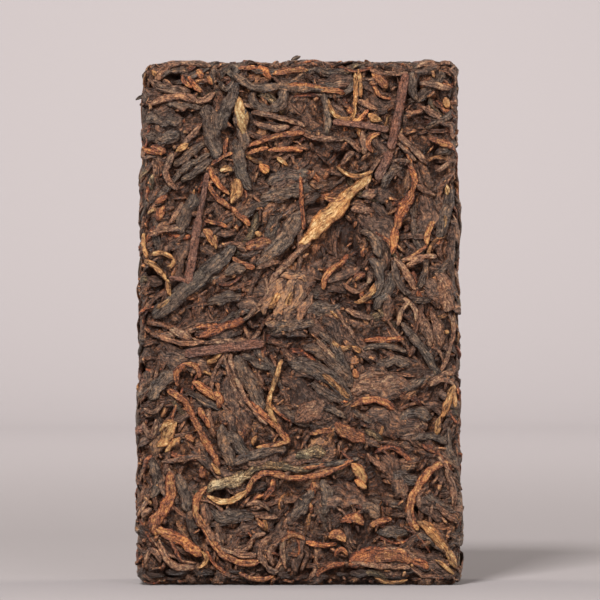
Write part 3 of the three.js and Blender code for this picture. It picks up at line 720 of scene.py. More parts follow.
# Brown strands: younger leaves, rolled into thin cords before they dried and now woven over and under one
# another. They are mid brown, some of them paler and pinkish where the skin has rubbed.
BROWN_STRANDS = [
    (-27.4, 96, -25, 99.3, -16.8, 98.7, 2.2, 0.35), (-29.2, 96.6, -26, 94.8, -20.6, 94, 2.0, 0.4),
    (-28.7, 91, -24.5, 92.9, -19.3, 92, 1.6, 0.6), (-19.7, 92, -17.8, 92.4, -16, 93.7, 1.5, 0.75),
    (-22.2, 83.8, -20.5, 85.5, -18.6, 87.4, 1.3, 0.5), (-23.8, 82, -25.3, 79, -23, 75, 1.5, 0.45),
    (-9.2, 89.9, -5, 89.2, 1.2, 87.2, 1.1, 0.6), (-8.7, 88.1, -6, 87, -1.8, 87.2, 1.3, 0.45),
    (3.3, 95.8, 6, 95.4, 9.2, 95, 1.4, 0.5), (18.8, 85.9, 21.5, 83, 24.2, 80.3, 1.4, 0.5),
    (19, 84, 20.5, 82.4, 22.2, 80.6, 0.9, 0.5), (10.8, 92.1, 13, 91.2, 14.9, 90.5, 1.4, 0.5),
    (11.8, 86.4, 12.3, 84, 12.2, 81.8, 1.5, 0.6), (-0.2, 86.3, 4.5, 84.8, 8.7, 85, 1.1, 0.5),
    (8.3, 85, 10.2, 84, 11.7, 82.3, 1.1, 0.5), (7.8, 79.8, 9, 81.2, 10.5, 82.4, 1.4, 0.5),
    (22.3, 98.3, 24.4, 99.6, 26.2, 98.1, 2.0, 0.5), (22.8, 95.3, 26, 95, 29, 94.2, 1.3, 0.8),
    (26.8, 99.2, 27.9, 99.7, 28.8, 99.2, 1.3, 0.5), (28.4, 98.2, 30, 96.5, 30, 94.8, 1.3, 0.5),
    (13.3, 98, 17, 97.2, 20.7, 97.4, 1.0, 0.5), (23.3, 90.9, 25.8, 89.4, 27.5, 88.7, 1.3, 0.5),
    (28.6, 87.6, 29.2, 86, 29.3, 84.6, 1.3, 0.5), (25.8, 78.7, 27.6, 79.6, 28.9, 81, 0.9, 0.5),
    (17.8, 80.7, 19.5, 80.7, 21.2, 80.4, 0.8, 0.5), (-24.7, 68.7, -23.2, 71, -22.1, 72.8, 1.0, 0.8),
    (-28.7, 66.4, -24.8, 67.8, -21.3, 68, 1.5, 0.5), (-8.2, 60.1, -6, 61, -3.6, 61.5, 0.9, 0.4),
    (-6, 57, -2.5, 61, 2.2, 65.5, 1.3, 0.7), (9.8, 71.6, 12, 71.4, 14.2, 70.9, 1.6, 0.5),
    (11.8, 74, 13.2, 74.4, 14.8, 74.6, 2.0, 0.5), (22.3, 76, 24, 75, 25.9, 74.1, 1.0, 0.4),
    (18, 62, 20.3, 59.5, 22, 56, 1.6, 0.7), (19.3, 61.9, 22.4, 62.3, 26.2, 62.6, 1.0, 0.9),
    (20.3, 60.7, 22, 61.4, 23.7, 61.9, 1.3, 0.8), (19.6, 54.6, 21.4, 53.3, 22.3, 50.2, 1.0, 0.9),
    (21, 54.1, 19.5, 52, 18.7, 49.3, 1.1, 0.85), (25.8, 59.4, 28, 56, 27.6, 52, 3.6, 0.55),
    (8.8, 52.4, 11.5, 51.4, 14.2, 50.7, 1.3, 0.5), (8.3, 57.7, 10.8, 55.9, 13.1, 57.6, 1.1, 0.5),
    (12.9, 57.3, 13.4, 58.5, 13.2, 59.7, 1.1, 0.5), (-6.4, 58.4, -6, 56, -8.1, 52.9, 1.0, 0.6),
    (-7.9, 53.1, -9.2, 51.6, -10.7, 50.3, 1.0, 0.6), (-28.3, 48.2, -23, 46.2, -17.8, 46.2, 1.1, 0.5),
    (-18.2, 46.2, -14, 46.3, -9.8, 46.6, 1.1, 0.5), (-24.7, 48.7, -22.5, 47.8, -20.3, 46.9, 2.0, 0.85),
    (-29.6, 33.7, -27.5, 33, -25.8, 34.7, 1.0, 0.5), (-29.7, 31.2, -28.2, 28.4, -27.1, 31.7, 1.1, 0.6),
    (-13.2, 44.2, -12, 39.4, -9.4, 34.4, 1.1, 0.6), (-10.4, 36.2, -8.6, 33.2, -6, 30.6, 1.0, 0.6),
    (-14.2, 43.6, -12.8, 38.6, -10.6, 33.8, 0.9, 0.5), (-0.8, 31, 2, 33, 4.8, 35, 4.6, 0.35),
    (9.8, 36.9, 14, 38, 19.2, 39.1, 3.4, 0.6), (22.9, 52.2, 24, 49, 25.1, 45.3, 2.2, 0.5),
    (24.9, 52.2, 26.5, 48.5, 27, 45.3, 2.3, 0.5), (28.4, 51.7, 29.4, 49, 28.5, 45.3, 1.1, 0.5),
    (28.7, 45.7, 28, 43, 26.9, 40.8, 1.1, 0.5), (24.3, 38.1, 26.5, 39.8, 29.7, 40.3, 1.0, 0.6),
    (24.8, 37.8, 27.5, 39, 29.5, 37.9, 1.0, 0.6), (3.3, 46.7, 5, 45, 6.7, 43.1, 1.1, 0.9),
    (12.8, 25.1, 15, 23, 17.2, 20.8, 1.3, 0.5), (26.4, 24.4, 27.6, 23.2, 28.6, 21.8, 1.0, 0.6),
    (21.4, 17.2, 20.9, 13.5, 22.1, 9.8, 1.3, 0.5), (24.1, 18.7, 22.7, 16.5, 23, 14.6, 0.9, 0.6),
    (26.1, 15.7, 28, 13.5, 30.2, 11.9, 1.3, 0.5), (27.9, 22.2, 29.1, 19, 29.5, 14.8, 1.5, 0.5),
    (-26.6, 8.8, -24.4, 4.2, -19.6, 3.4, 1.5, 0.75), (-18.3, 15.5, -17.8, 12, -15, 6.8, 1.3, 0.5),
    (-15.6, 10, -14.5, 7, -12.3, 6.2, 1.1, 0.6), (-12.7, 6.2, -10.5, 5.8, -7.8, 5.8, 1.2, 0.6),
    (-12.7, 6.4, -10.2, 7, -8.9, 9, 1.2, 0.5), (-9.1, 8.6, -7.8, 9.6, -6.3, 9.8, 1.2, 0.5),
    (-5.4, 9.4, -7.4, 6.4, -5.9, 3.3, 1.4, 0.5), (-6.1, 3.7, -5.2, 2.8, -3.8, 2.7, 1.3, 0.5),
    (-3.7, 8.2, -5.8, 6.2, -4.7, 3.8, 1.2, 0.6), (-2.8, 9, -3.2, 6, -2.7, 3.8, 1.1, 0.7),
    (-10.2, 15.1, -8, 15.7, -5.6, 14.2, 1.0, 0.6), (-8.5, 13.2, -6, 13, -4, 13, 1.0, 0.6),
    (-26.2, 23.4, -22.5, 24, -17.8, 24.6, 1.1, 0.5), (-29.6, 4, -28, 6.6, -26.3, 4.2, 1.2, 0.4),
    (-29.8, 12.8, -29, 14, -28, 14.7, 1.3, 0.5), (14.6, 6.7, 19, 6.7, 24.2, 3.2, 1.3, 0.6),
    (9.8, 4.5, 16, 3.7, 21.2, 3.5, 1.2, 0.6),
]
BROWN_FILL = {"front": 180, "back": 170, "left": 40, "right": 40, "top": 24}
draw_brown = np.random.default_rng(22)
guides["front"] = np.concatenate([guides["front"], photo_rows(BROWN_STRANDS)])
brown_batches = [
    laid_strands("front", photo_rows(BROWN_STRANDS), draw_brown, stations=26, crown=(0.0, 0.2), sink=0.3,
                 wild=0.7, blunt=0.35),
    *strewn_batches(BROWN_FILL, draw_brown, guides, (5, 14), (0.7, 1.4), (0.1, 0.8), bow=0.25,
                    stations=12, crown_points=7, crown=(-0.7, -0.25)),
]
strand_piece("brown_strands", brown_batches, leaf_finish(
    "brown_leaf", (0.032, 0.015, 0.008), (0.120, 0.059, 0.037), (0.215, 0.110, 0.066), (0.352, 0.222, 0.125)))

# Broad leaves: whole leaves that were pressed flat with their veins and folds showing. They are thin, lap
# over one another like tiles, and make up most of the level ground between the strands. One near the middle
# is paler and crumpled, so it is laid as several folds.
BROAD_LEAVES = [
    (-27.6, 86, -25.6, 87.6, -22.4, 86.4, 5.4, 0.15), (-6.8, 72.6, -2.4, 76.2, 2.6, 79, 5.2, 0.45),
    (-9.6, 55.6, -3, 56.4, 3.8, 60.4, 6.4, 0.7), (-4.4, 48.6, -1.6, 51.4, 1.6, 55.2, 5.4, 0.2),
    (-3.6, 38.4, 1.6, 34.6, 6.4, 27.8, 6.6, 0.0), (9.4, 40.4, 14.6, 38.6, 20.6, 36.4, 6.2, 0.6),
    (12.2, 33, 17.6, 31.6, 23.4, 27.4, 5.2, 0.5), (-14.4, 40.6, -12.2, 34.4, -9.4, 28.4, 5.0, 0.4),
    (4.4, 52.8, 7.6, 47.6, 9.6, 41.4, 4.4, 0.05), (10.2, 70.2, 15, 68.4, 17.6, 64, 5.2, 0.4),
    (23.6, 74.6, 24.4, 70, 22.4, 65.6, 4.6, 0.35), (-27, 44.6, -22, 42.6, -16.6, 41.8, 4.2, 0.45),
    (-12, 26.6, -9.6, 24.6, -4.6, 25, 4.0, 0.5), (2.4, 14.6, 6.4, 16.6, 12.6, 15.6, 4.6, 0.45),
    (15.4, 24.6, 18.4, 21, 18.8, 16, 4.2, 0.4), (23, 58.6, 26, 56, 28.6, 51.6, 4.6, 0.5),
]
CRUMPLED_LEAVES = [
    (-7, 51.4, -5.2, 54.6, -3.4, 58, 2.4, 1.05), (-5, 50.4, -3.2, 53.6, -1.2, 58.4, 2.4, 1.3),
    (-2.8, 50, -1, 53, 0.8, 57.4, 2.2, 1.1), (-3.8, 58.8, -1.2, 59, 1.6, 57.8, 1.5, 1.3),
    (-0.8, 50.2, 1, 52.6, 2.4, 55.6, 1.8, 0.8), (-6.4, 50, -4, 49.6, -1, 50.4, 1.5, 1.1),
]
BROAD_FILL = {"front": 105, "back": 120, "left": 26, "right": 26, "top": 16}
draw_broad = np.random.default_rng(26)
broad_batches = [
    laid_strands("front", photo_rows(BROAD_LEAVES), draw_broad, crown_points=21, thick=0.08,
                 crown=(-0.34, -0.16), pleat=0.22, roll=0.4),
    laid_strands("front", photo_rows(CRUMPLED_LEAVES), draw_broad, crown_points=15, thick=0.12,
                 crown=(-0.05, 0.1), pleat=0.24, roll=0.4, wild=1.5, blunt=0.4, sink=0.4),
    *strewn_batches(BROAD_FILL, draw_broad, guides, (6, 13), (1.8, 3.6), (0.1, 0.65), bow=0.15, stray=0.5,
                    stations=16, crown_points=11, thick=0.08, crown=(-0.75, -0.35), pleat=0.22, roll=0.65),
]
strand_piece("broad_leaves", broad_batches, leaf_finish(
    "broad_leaf", (0.027, 0.014, 0.009), (0.096, 0.054, 0.038), (0.18, 0.098, 0.062), (0.33, 0.175, 0.09),
    blotch=1.98, streaks=1.05, grit=1.9))

# Rust strands: leaves that browned before they were dried, from red-brown to bright orange, with thin
# edges that have frayed and curled into hooks and loops.
RUST_STRANDS = [
    (-22.2, 97.2, -21.8, 95.8, -20.3, 94.6, 1.1, 0.5), (-21, 97.2, -20.6, 96, -18.4, 93.7, 1.1, 0.6),
    (-19.6, 98, -19, 97.2, -18.4, 96.4, 1.6, 0.8), (-17.5, 96.8, -17, 96, -16.6, 95.1, 1.2, 0.8),
    (-11.7, 98.2, -10, 98.4, -7.8, 98.2, 1.1, 0.5), (-7.7, 99, -6.6, 97.6, -5.4, 96.2, 1.7, 0.75),
    (-5, 96.9, -2, 97.9, 1.7, 97.8, 1.3, 0.55), (-30, 82.5, -28, 82.5, -25.8, 82, 1.1, 0.7),
    (-28.2, 83.6, -26.8, 83, -25.3, 82.2, 1.6, 0.3), (-13.5, 85, -14, 83.2, -13.9, 81.6, 1.1, 0.35),
    (-16.7, 79.8, -14.6, 81.4, -12.6, 82.1, 0.8, 0.3), (-17.1, 79.2, -15.5, 76.5, -13.3, 74.1, 1.1, 0.75),
    (-17.9, 77.7, -15.8, 74, -12.8, 71.6, 1.2, 0.5), (-13.2, 72, -11.2, 70.2, -9.3, 68.3, 1.2, 0.6),
    (-10, 83.2, -5, 85.2, 1.2, 86, 1.1, 0.5), (-6, 82.6, -3.5, 82.9, 0.7, 82.5, 1.0, 0.8),
    (-10, 81.9, -8, 82.7, -5.8, 83, 0.9, 0.7), (-7.4, 80.2, -6.6, 79.2, -5.8, 78.4, 2.1, 1.1),
    (-2.2, 95.2, 3, 94.6, 8.7, 93.5, 1.2, 0.75), (9.6, 88.1, 12, 88.9, 13.1, 90.4, 1.1, 0.85),
    (15.6, 86, 13.1, 84.3, 14.1, 82.2, 1.1, 0.7), (13.8, 97.4, 15.4, 96, 16.6, 94.3, 1.9, 0.6),
    (24.6, 84.9, 27.5, 84, 30, 82.7, 1.5, 0.5), (4.3, 74.4, 6, 73.2, 9.2, 74.4, 1.0, 0.6),
    (20.7, 79.7, 21.9, 77, 21.3, 74.3, 1.3, 0.55), (21.5, 75, 19.8, 71.6, 18.3, 67.6, 2.3, 0.55),
    (18.3, 68.2, 18, 65.6, 17.8, 62.8, 1.7, 0.9), (25.5, 69.2, 24.5, 67, 24.3, 64.6, 1.2, 1.1),
    (24.4, 64.5, 22, 62.9, 19.6, 61.4, 0.7, 0.7), (12.3, 64.2, 12.1, 63.2, 12.2, 62.3, 1.0, 0.4),
    (10.4, 58.1, 11.5, 58.8, 12.6, 58.8, 1.7, 0.45), (8.2, 61.4, 5.7, 59.6, 4.6, 56.1, 1.2, 0.8),
    (-18.2, 67.7, -16.9, 66.8, -15.9, 63.8, 1.4, 0.8), (-18, 69.3, -15.8, 68.8, -13.6, 68.1, 0.9, 0.5),
    (-27.5, 72.6, -26.2, 73.4, -25, 74.1, 1.3, 0.6), (-27.1, 69.3, -26.3, 70.8, -25.7, 72.2, 1.6, 0.55),
    (-10.2, 63.8, -7.5, 65, -5.2, 65.5, 2.3, 0.35), (-12.7, 62.4, -10.5, 61, -8.4, 60.2, 1.1, 0.5),
    (-18.2, 67.7, -17.2, 66.6, -16.4, 64.4, 1.3, 1.1), (-23, 37.8, -23, 41, -20.6, 42, 1.3, 0.6),
    (-21.6, 42, -19.6, 41.6, -19, 39.4, 1.3, 0.6), (-20.4, 38.7, -17.6, 37, -15.2, 35.2, 1.8, 0.85),
    (-16.2, 36.8, -15.2, 35.4, -15.4, 33.6, 1.7, 0.85), (-25.2, 37.2, -22.3, 35.5, -20, 31.2, 1.5, 0.5),
    (-21, 33, -17.8, 27.6, -15.1, 22.4, 1.5, 0.6), (-19.1, 33.8, -18, 31.8, -16.9, 29.8, 1.4, 0.6),
    (-21.5, 28.7, -20.7, 28, -20, 27.3, 1.4, 0.8), (-19.7, 47.1, -14.5, 49, -10.3, 50.6, 1.8, 0.3),
    (-9.8, 34.8, -6.5, 32.2, -3.2, 29.2, 1.5, 0.6), (-4.6, 30.8, -3.2, 28.9, -1.7, 27, 1.4, 0.6),
    (-8.2, 26.2, -5, 26.7, -1.8, 27.3, 1.1, 0.8), (6.6, 30.6, 9.5, 29, 12.5, 27.2, 2.9, 0.45),
    (1.8, 28.7, 4, 29.2, 6.4, 29.6, 1.1, 0.5), (9.8, 33.9, 13, 35.3, 18.2, 33.4, 1.5, 0.55),
    (10.4, 41.2, 10.8, 40.2, 11.1, 39.3, 1.4, 0.85), (12.3, 46.5, 16, 46.7, 20, 46.8, 1.3, 0.55),
    (-24.5, 21.8, -24.6, 17.3, -27, 11.8, 2.4, 0.6), (-26, 14.4, -27.4, 12, -27.2, 9.4, 2.3, 0.45),
    (-28.2, 11.2, -23.6, 9.1, -18.4, 5.6, 2.2, 0.8), (-17.5, 18.8, -19.7, 15.2, -18.6, 11, 1.4, 0.8),
    (-19.4, 13.8, -17, 9.4, -14.6, 5.6, 1.5, 0.6), (-16.2, 7.8, -12.4, 4.7, -7.2, 4.7, 1.4, 0.5),
    (-3.4, 8.2, -1.8, 9.5, 1.2, 8.6, 1.1, 0.7), (0.8, 8.6, 4, 7.7, 7.2, 8, 1.1, 0.6),
    (-10.3, 16.6, -7.6, 20.9, -2.4, 20.8, 1.2, 0.6), (-5, 21, 1, 20.5, 6.6, 22, 1.2, 0.5),
    (3.8, 21, 7, 22.3, 10.4, 23.8, 1.1, 0.6), (-7.8, 12.5, -7.2, 11.7, -6.8, 10.8, 1.0, 0.85),
    (-4.9, 20.2, -5.4, 18, -7, 16.5, 1.4, 0.3), (-11.5, 2.4, -9, 1.4, -4.8, 1.6, 1.0, 0.55),
    (-18.5, 22.7, -18.5, 21.5, -18.2, 20.3, 1.5, 0.4), (0.8, 22.2, 3, 22.6, 5.2, 23, 0.9, 0.5),
    (0.2, 78.6, 0.5, 73, 0.9, 67.4, 0.9, 0.35), (28.4, 23.6, 24, 20.9, 21.9, 16.4, 1.7, 0.8),
    (22.4, 18.6, 21, 14.4, 22.6, 10.4, 1.7, 0.8), (7.8, 11.9, 10.5, 12.9, 12.2, 11.4, 2.1, 0.7),
    (5.6, 8.9, 7.5, 9.5, 8.7, 8.2, 2.2, 0.75), (13.3, 11.4, 15.5, 12.2, 17.7, 12.6, 1.3, 0.7),
    (6.8, 5.5, 8, 7, 9.2, 5.7, 0.9, 0.6), (6.4, 4.4, 7.4, 4.0, 8.6, 4.5, 0.8, 0.4),
    (9.3, 4.1, 16, 5.9, 22, 4.7, 3.4, 0.4), (21.3, 4.9, 23, 4.2, 24.7, 3.4, 2.0, 0.4),
    (9.8, 23.2, 11.1, 22.2, 12.2, 19.2, 2.3, 1.25), (10.6, 20.2, 11.6, 19.4, 12.8, 18.4, 1.5, 1.15),
]
RUST_FILL = {"front": 70, "back": 120, "left": 30, "right": 30, "top": 20}
draw_rust = np.random.default_rng(23)
rust_batches = [
    laid_strands("front", photo_rows(RUST_STRANDS), draw_rust, stations=26, crown=(0.05, 0.22), sink=0.3,
                 wild=0.7, blunt=0.3, proud=0.05),
    *strewn_batches(RUST_FILL, draw_rust, guides, (3, 10), (0.6, 1.4), (0.0, 0.7), bow=0.35, stray=0.5,
                    stations=12, crown_points=7, crown=(-0.6, -0.2)),
]
strand_piece("rust_strands", rust_batches, leaf_finish(
    "rust_leaf", (0.040, 0.014, 0.008), (0.170, 0.056, 0.027), (0.305, 0.121, 0.047), (0.445, 0.236, 0.087)))

# Golden buds: the downy tips of the shoots, which stay gold when the leaves blacken. The largest lies across
# the middle of the face, the palest hangs near the upper left corner, and a few are crumpled, so they are
# laid as folds.
GOLDEN_BUDS = [
    (0.4, 65, 5, 69.6, 10.8, 75.4, 3.7, 0.75), (6.2, 71, 9.8, 74.5, 13.7, 78, 2.1, 0.6),
    (0.1, 64.7, 2.2, 66.5, 5.2, 69.6, 1.6, 1.1), (27.6, 70.4, 27.9, 69.2, 27.6, 67.8, 0.9, 0.5),
    (-11.5, 92.9, -11.1, 90, -10.4, 85.4, 2.6, 0.75), (-3.2, 43, -4.4, 39.4, -5.5, 35.8, 1.1, 0.4),
    (-12, 77.3, -12, 75, -12.9, 72.5, 2.7, 0.3), (-28.4, 98.2, -28, 97.7, -27.5, 97, 1.0, 0.35),
    (-23.5, 82.3, -22.3, 83.2, -21, 83.8, 1.5, 0.55), (-15.2, 78.8, -14, 79.1, -12.7, 78.7, 1.6, 0.55),
    (-4.2, 81.4, -3.2, 80.6, -2.1, 79.7, 0.9, 0.55), (10.6, 97.4, 10.8, 94, 10.3, 90.4, 1.0, 0.35),
    (10.5, 91.6, 9.8, 88.8, 7.2, 88.9, 1.0, 0.35), (8, 88.8, 6.5, 89.8, 5.5, 92.4, 1.0, 0.3),
    (11.2, 98.2, 11.6, 95, 11.7, 92.6, 0.9, 0.2), (13.1, 89.5, 14.4, 88.8, 15.7, 88.1, 1.7, 0.55),
    (7, 79.7, 9.7, 77.9, 14.2, 78.8, 0.9, 0.3), (27.4, 92.6, 28, 91.6, 28.5, 90.7, 1.7, 0.4),
    (-29.7, 67, -29.5, 64.4, -28.7, 61.8, 1.0, 0.4), (-29.7, 61.6, -27.4, 60.7, -25.3, 57.8, 1.3, 0.25),
    (-25, 58.2, -24.8, 56.5, -24.5, 54.8, 1.1, 0.3), (-24.4, 54.6, -25.6, 53.5, -27.2, 52.7, 1.1, 0.3),
    (-28.2, 62.9, -26, 63.1, -23.8, 61.9, 1.1, 0.4), (-23.9, 62.2, -24.1, 61, -25.2, 60.4, 1.0, 0.45),
    (-8.4, 67.1, -7.8, 66.8, -7.1, 66.5, 1.2, 0.55),
    (28, 76.2, 28.2, 75.2, 28, 74.1, 1.2, 0.5), (10.3, 53.8, 12.6, 54.5, 14.6, 57.7, 1.3, 0.25),
    (-5.4, 37, -5.7, 34, -4, 30.4, 1.2, 0.45), (-8, 28.5, -8.5, 27.6, -8.6, 26.6, 1.1, 0.4),
    (6.3, 46.7, 8, 45.1, 10.1, 45.6, 1.2, 0.3), (9.9, 45.5, 10.8, 45, 11.6, 44.1, 1.2, 0.3),
    (27.5, 48.4, 28, 48.2, 28.5, 48, 0.9, 0.65), (29.4, 38.2, 28.4, 35, 26.8, 31.8, 1.5, 0.3),
    (26.9, 32.2, 26.3, 30.4, 26.3, 28.6, 1.4, 0.35), (29.3, 37.2, 29.6, 35.5, 29.5, 33.8, 1.0, 0.4),
    (4.3, 40.5, 7, 38, 9.7, 35.6, 1.3, 0.15), (-18.7, 6.6, -17.6, 4.8, -19.2, 3.2, 0.9, 0.5),
    (-17.6, 17, -13.6, 16, -9.8, 18.2, 1.3, 0.8), (-16.7, 23.2, -15.8, 22, -14.8, 21.1, 1.3, 0.5),
    (22.4, 12.4, 25.6, 9.8, 28.2, 6.0, 2.3, 0.3), (27.6, 7.0, 29.1, 5, 29.9, 3.3, 1.8, 0.35),
    (25.8, 4.9, 27.8, 3.6, 29.5, 2.1, 1.0, 0.4), (14.3, 1.4, 17.6, 0.6, 20.7, 1, 0.8, 0.45),
]
FOLDED_BUDS = [
    (-26.8, 26.2, -25.2, 28.6, -23, 31, 2.5, 0.45), (-26.6, 29.2, -25.4, 30.4, -23.8, 31.4, 1.2, 0.6),
    (-25.4, 25.2, -24, 27, -22.6, 28.2, 1.3, 0.4), (-5.6, 52.4, -4.6, 54, -4, 55.8, 1.5, 0.3),
    (-2.8, 52.4, -1.8, 54.2, -1.2, 56, 1.3, 0.25),
]
GOLD_FILL = {"front": 26, "back": 70, "left": 20, "right": 20, "top": 14}
draw_gold = np.random.default_rng(24)
gold_batches = [
    laid_strands("front", photo_rows(GOLDEN_BUDS), draw_gold, stations=26, crown=(0.1, 0.25), pleat=0.16,
                 twist=0.15, wild=0.6, sink=0.3, proud=0.1),
    laid_strands("front", photo_rows(FOLDED_BUDS), draw_gold, crown_points=15, thick=0.12,
                 crown=(0.0, 0.14), pleat=0.24, roll=0.3, wild=1.4, blunt=0.4, sink=0.4),
    *strewn_batches(GOLD_FILL, draw_gold, guides, (2, 7), (0.6, 1.3), (0.0, 0.6), stray=0.6,
                    stations=12, crown_points=7, crown=(-0.6, -0.15), pleat=0.16),
]
strand_piece("golden_buds", gold_batches, leaf_finish(
    "golden_bud", (0.06, 0.026, 0.011), (0.26, 0.12, 0.047), (0.405, 0.237, 0.094), (0.57, 0.42, 0.235),
    streaks=1.725, grit=1.71))

# Olive leaves: leaves that dried before they had darkened, so they kept a dull green. The longest runs across
# the lower left of the face.
OLIVE_LEAVES = [
    (-18.2, 18, -13.8, 19.6, -8.4, 21.2, 2.7, 0.9), (-11.4, 20.2, -7, 22.6, -1.4, 22.3, 1.7, 0.35),
    (-4, 22.5, -1, 22.2, 2.8, 22, 1.4, 0.3), (-1.2, 24, 2, 25.3, 5.5, 24.6, 2.7, 0.4),
    (12.4, 29.6, 14.2, 28.8, 16, 27.2, 1.3, 0.2),
]
OLIVE_FILL = {"front": 20, "back": 40, "left": 10, "right": 10, "top": 6}
olive_batches = [
    laid_strands("front", photo_rows(OLIVE_LEAVES), draw_gold, crown=(-0.1, 0.1), crown_points=15),
    *strewn_batches(OLIVE_FILL, draw_gold, guides, (4, 11), (0.9, 2.0), (0.1, 0.5),
                    stations=14, crown_points=9, crown=(-0.75, -0.3)),
]
strand_piece("olive_leaves", olive_batches, leaf_finish(
    "olive_leaf", (0.030, 0.019, 0.010), (0.105, 0.071, 0.040), (0.22, 0.150, 0.082), (0.46, 0.35, 0.20)))

# Stalks: woody stems of the shoots, straight and even in width, with blunt broken ends. They didn't give way
# in the press as the leaves did, so they stand a little proud of them.
STALKS = [
    (20.2, 97.4, 18.9, 90, 17.3, 82.7, 1.9, 0.45), (17.2, 82.5, 16, 79.5, 14.7, 77, 1.9, 0.5),
    (6.3, 88, 12, 87.4, 17, 86.5, 1.3, 0.5), (-17.4, 78.4, -18.3, 73.4, -19.4, 68.2, 1.2, 0.45),
    (-19.1, 70, -20.1, 63.4, -21.2, 57.2, 1.8, 0.45), (-21.2, 57.8, -23, 58.3, -24.7, 58.3, 1.0, 0.4),
    (-21.8, 43.9, -14, 45.1, -6.6, 46, 1.9, 0.42),
]
STALK_FILL = {"back": 9, "left": 3, "right": 3, "top": 2}
STALK_FORM = {"pleat": 0.12, "blunt": 1.0, "roll": 0.1, "twist": 0.1}
draw_stalk = np.random.default_rng(25)
stalk_batches = [
    laid_strands("front", photo_rows(STALKS), draw_stalk, crown=(0.3, 0.4), thick=0.4, wild=0.2, proud=0.16,
                 sink=0.2, **STALK_FORM),
    *strewn_batches(STALK_FILL, draw_stalk, {}, (9, 18), (1.2, 1.9), (0.3, 0.6), bow=0.05,
                    stations=16, crown=(-0.1, 0.1), wild=0.35, **STALK_FORM),
]
strand_piece("stalks", stalk_batches, leaf_finish(
    "stalk_bark", (0.028, 0.013, 0.009), (0.108, 0.047, 0.032), (0.19, 0.088, 0.058), (0.31, 0.165, 0.10),
    blotch=0.54, streaks=0.6))

# Broken bits: crumbs of leaf and splinters of stalk that sifted into the gaps before the tea was pressed.
CRUMBS = {"front": 900, "back": 480, "left": 120, "right": 120, "top": 80}
crumb_batches = strewn_batches(
    CRUMBS, np.random.default_rng(27), {}, (1.0, 4.2), (0.45, 1.3), (0.0, 0.9), bow=0.2,
    stations=4, crown_points=4, thick=0.5, crown=(-0.65, -0.1))
strand_piece("broken_bits", crumb_batches, leaf_finish(
    "crumb", (0.028, 0.012, 0.007), (0.12, 0.056, 0.033), (0.26, 0.12, 0.058), (0.46, 0.25, 0.11)))

# The table: a plain pale surface that curves up behind the brick into a plain backdrop. From here on sizes
# are in metres.
FLOOR_HALF_WIDTH = 2.5
FLOOR_FRONT = -2.5
SWEEP_START = 0.9
SWEEP_RADIUS = 0.3
SWEEP_TOP = 1.8
SWEEP_STEPS = 24
TABLE_COLOUR = (0.235, 0.216, 0.215, 1)
bend = np.linspace(0, math.pi / 2, SWEEP_STEPS + 1)[1:]
sweep_y = np.concatenate([[FLOOR_FRONT, SWEEP_START], SWEEP_START + SWEEP_RADIUS * np.sin(bend),
                          [SWEEP_START + SWEEP_RADIUS]])
sweep_z = np.concatenate([[0, 0], SWEEP_RADIUS * (1 - np.cos(bend)), [SWEEP_TOP]])
side_x = np.tile([-FLOOR_HALF_WIDTH, FLOOR_HALF_WIDTH], len(sweep_y))
table_points = np.stack([side_x, np.repeat(sweep_y, 2), np.repeat(sweep_z, 2)], 1)
strip = np.arange(len(sweep_y) - 1) * 2
table_quads = np.stack([strip, strip + 1, strip + 3, strip + 2], 1)
table_mesh = bpy.data.meshes.new("table")
table_mesh.from_pydata(table_points.tolist(), [], table_quads.tolist())
table_mesh.polygons.foreach_set("use_smooth", np.ones(len(table_quads), bool))
table = bpy.data.objects.new("table", table_mesh)
bpy.context.scene.collection.objects.link(table)
table_cloth = bpy.data.materials.new("table_cloth")
table_cloth.use_nodes = True
table_shader = table_cloth.node_tree.nodes["Principled BSDF"]
table_shader.inputs["Base Color"].default_value = TABLE_COLOUR
table_shader.inputs["Roughness"].default_value = 0.95
table_shader.inputs["Specular IOR Level"].default_value = 0.1
table_mesh.materials.append(table_cloth)

# The light: a soft key panel above and in front, a broad fill beside the camera, a warm panel at each side
# that catches the edges, and one that lights the backdrop, in a faint light from all round.
KEY_COLOUR = (1.0, 0.98, 0.98)
FILL_COLOUR = (1.0, 0.98, 1.0)
SIDE_COLOUR = (1.0, 0.93, 0.84)
BACKDROP_COLOUR = (1.0, 0.97, 0.96)
ROUND_COLOUR = (0.95, 0.93, 0.97, 1)
ROUND_STRENGTH = 0.4


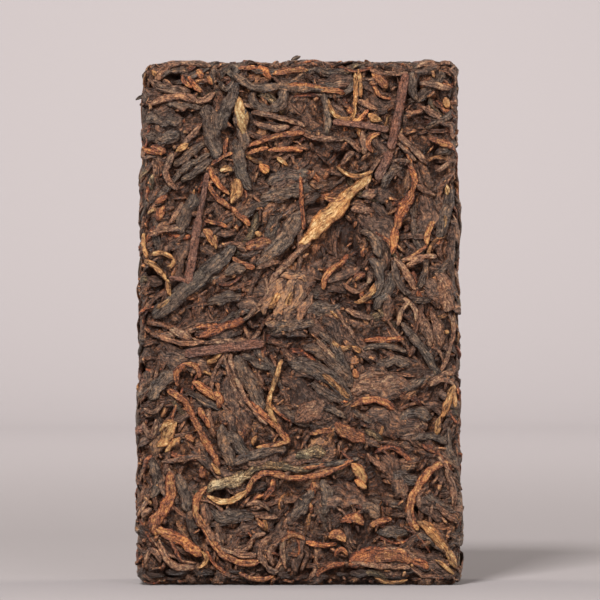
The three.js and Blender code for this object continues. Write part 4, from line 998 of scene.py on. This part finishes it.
def soft_panel(name, place, aim, size, power, colour):
    """A square area light at a place, turned towards a point."""
    lamp = bpy.data.lights.new(name, "AREA")
    lamp.shape = "SQUARE"
    lamp.size = size
    lamp.energy = power
    lamp.color = colour
    panel = bpy.data.objects.new(name, lamp)
    panel.location = place
    direction = np.array(aim, float) - np.array(place, float)
    panel.rotation_euler = Vector(direction).to_track_quat("-Z", "Y").to_euler()
    bpy.context.scene.collection.objects.link(panel)


soft_panel("key", (-0.25, -0.7, 0.78), (0, 0, 0.06), size=0.22, power=18, colour=KEY_COLOUR)
soft_panel("fill", (0.5, -0.8, 0.2), (0, 0, 0.05), size=0.6, power=5.6, colour=FILL_COLOUR)
soft_panel("left side", (-0.7, 0.15, 0.3), (0, 0, 0.05), size=0.35, power=4.5, colour=SIDE_COLOUR)
soft_panel("right side", (0.7, 0.15, 0.3), (0, 0, 0.05), size=0.35, power=4.5, colour=SIDE_COLOUR)
soft_panel("backdrop", (0.0, 0.5, 1.0), (0, 1.2, 0.75), size=0.6, power=27, colour=BACKDROP_COLOUR)
world = bpy.data.worlds.new("studio")
world.use_nodes = True
world.node_tree.nodes["Background"].inputs["Color"].default_value = ROUND_COLOUR
world.node_tree.nodes["Background"].inputs["Strength"].default_value = ROUND_STRENGTH
bpy.context.scene.world = world
bpy.context.scene.view_settings.view_transform = "Standard"

# The camera: about level with the middle of the brick, straight in front of it, far enough away that its
# sides hardly show.
CAMERA_DISTANCE = 0.75
CAMERA_ACROSS = 0.0002
CAMERA_UP = 0.0542
FRAME_WIDTH = 0.1153
SENSOR_WIDTH = 36
camera_data = bpy.data.cameras.new("camera")
camera_data.sensor_width = SENSOR_WIDTH
camera_data.lens = SENSOR_WIDTH * CAMERA_DISTANCE / FRAME_WIDTH
camera_data.clip_start = 0.02
camera = bpy.data.objects.new("camera", camera_data)
camera.location = (CAMERA_ACROSS, -CAMERA_DISTANCE, CAMERA_UP)
camera.rotation_euler = (math.pi / 2, 0, 0)
bpy.context.scene.collection.objects.link(camera)
bpy.context.scene.camera = camera
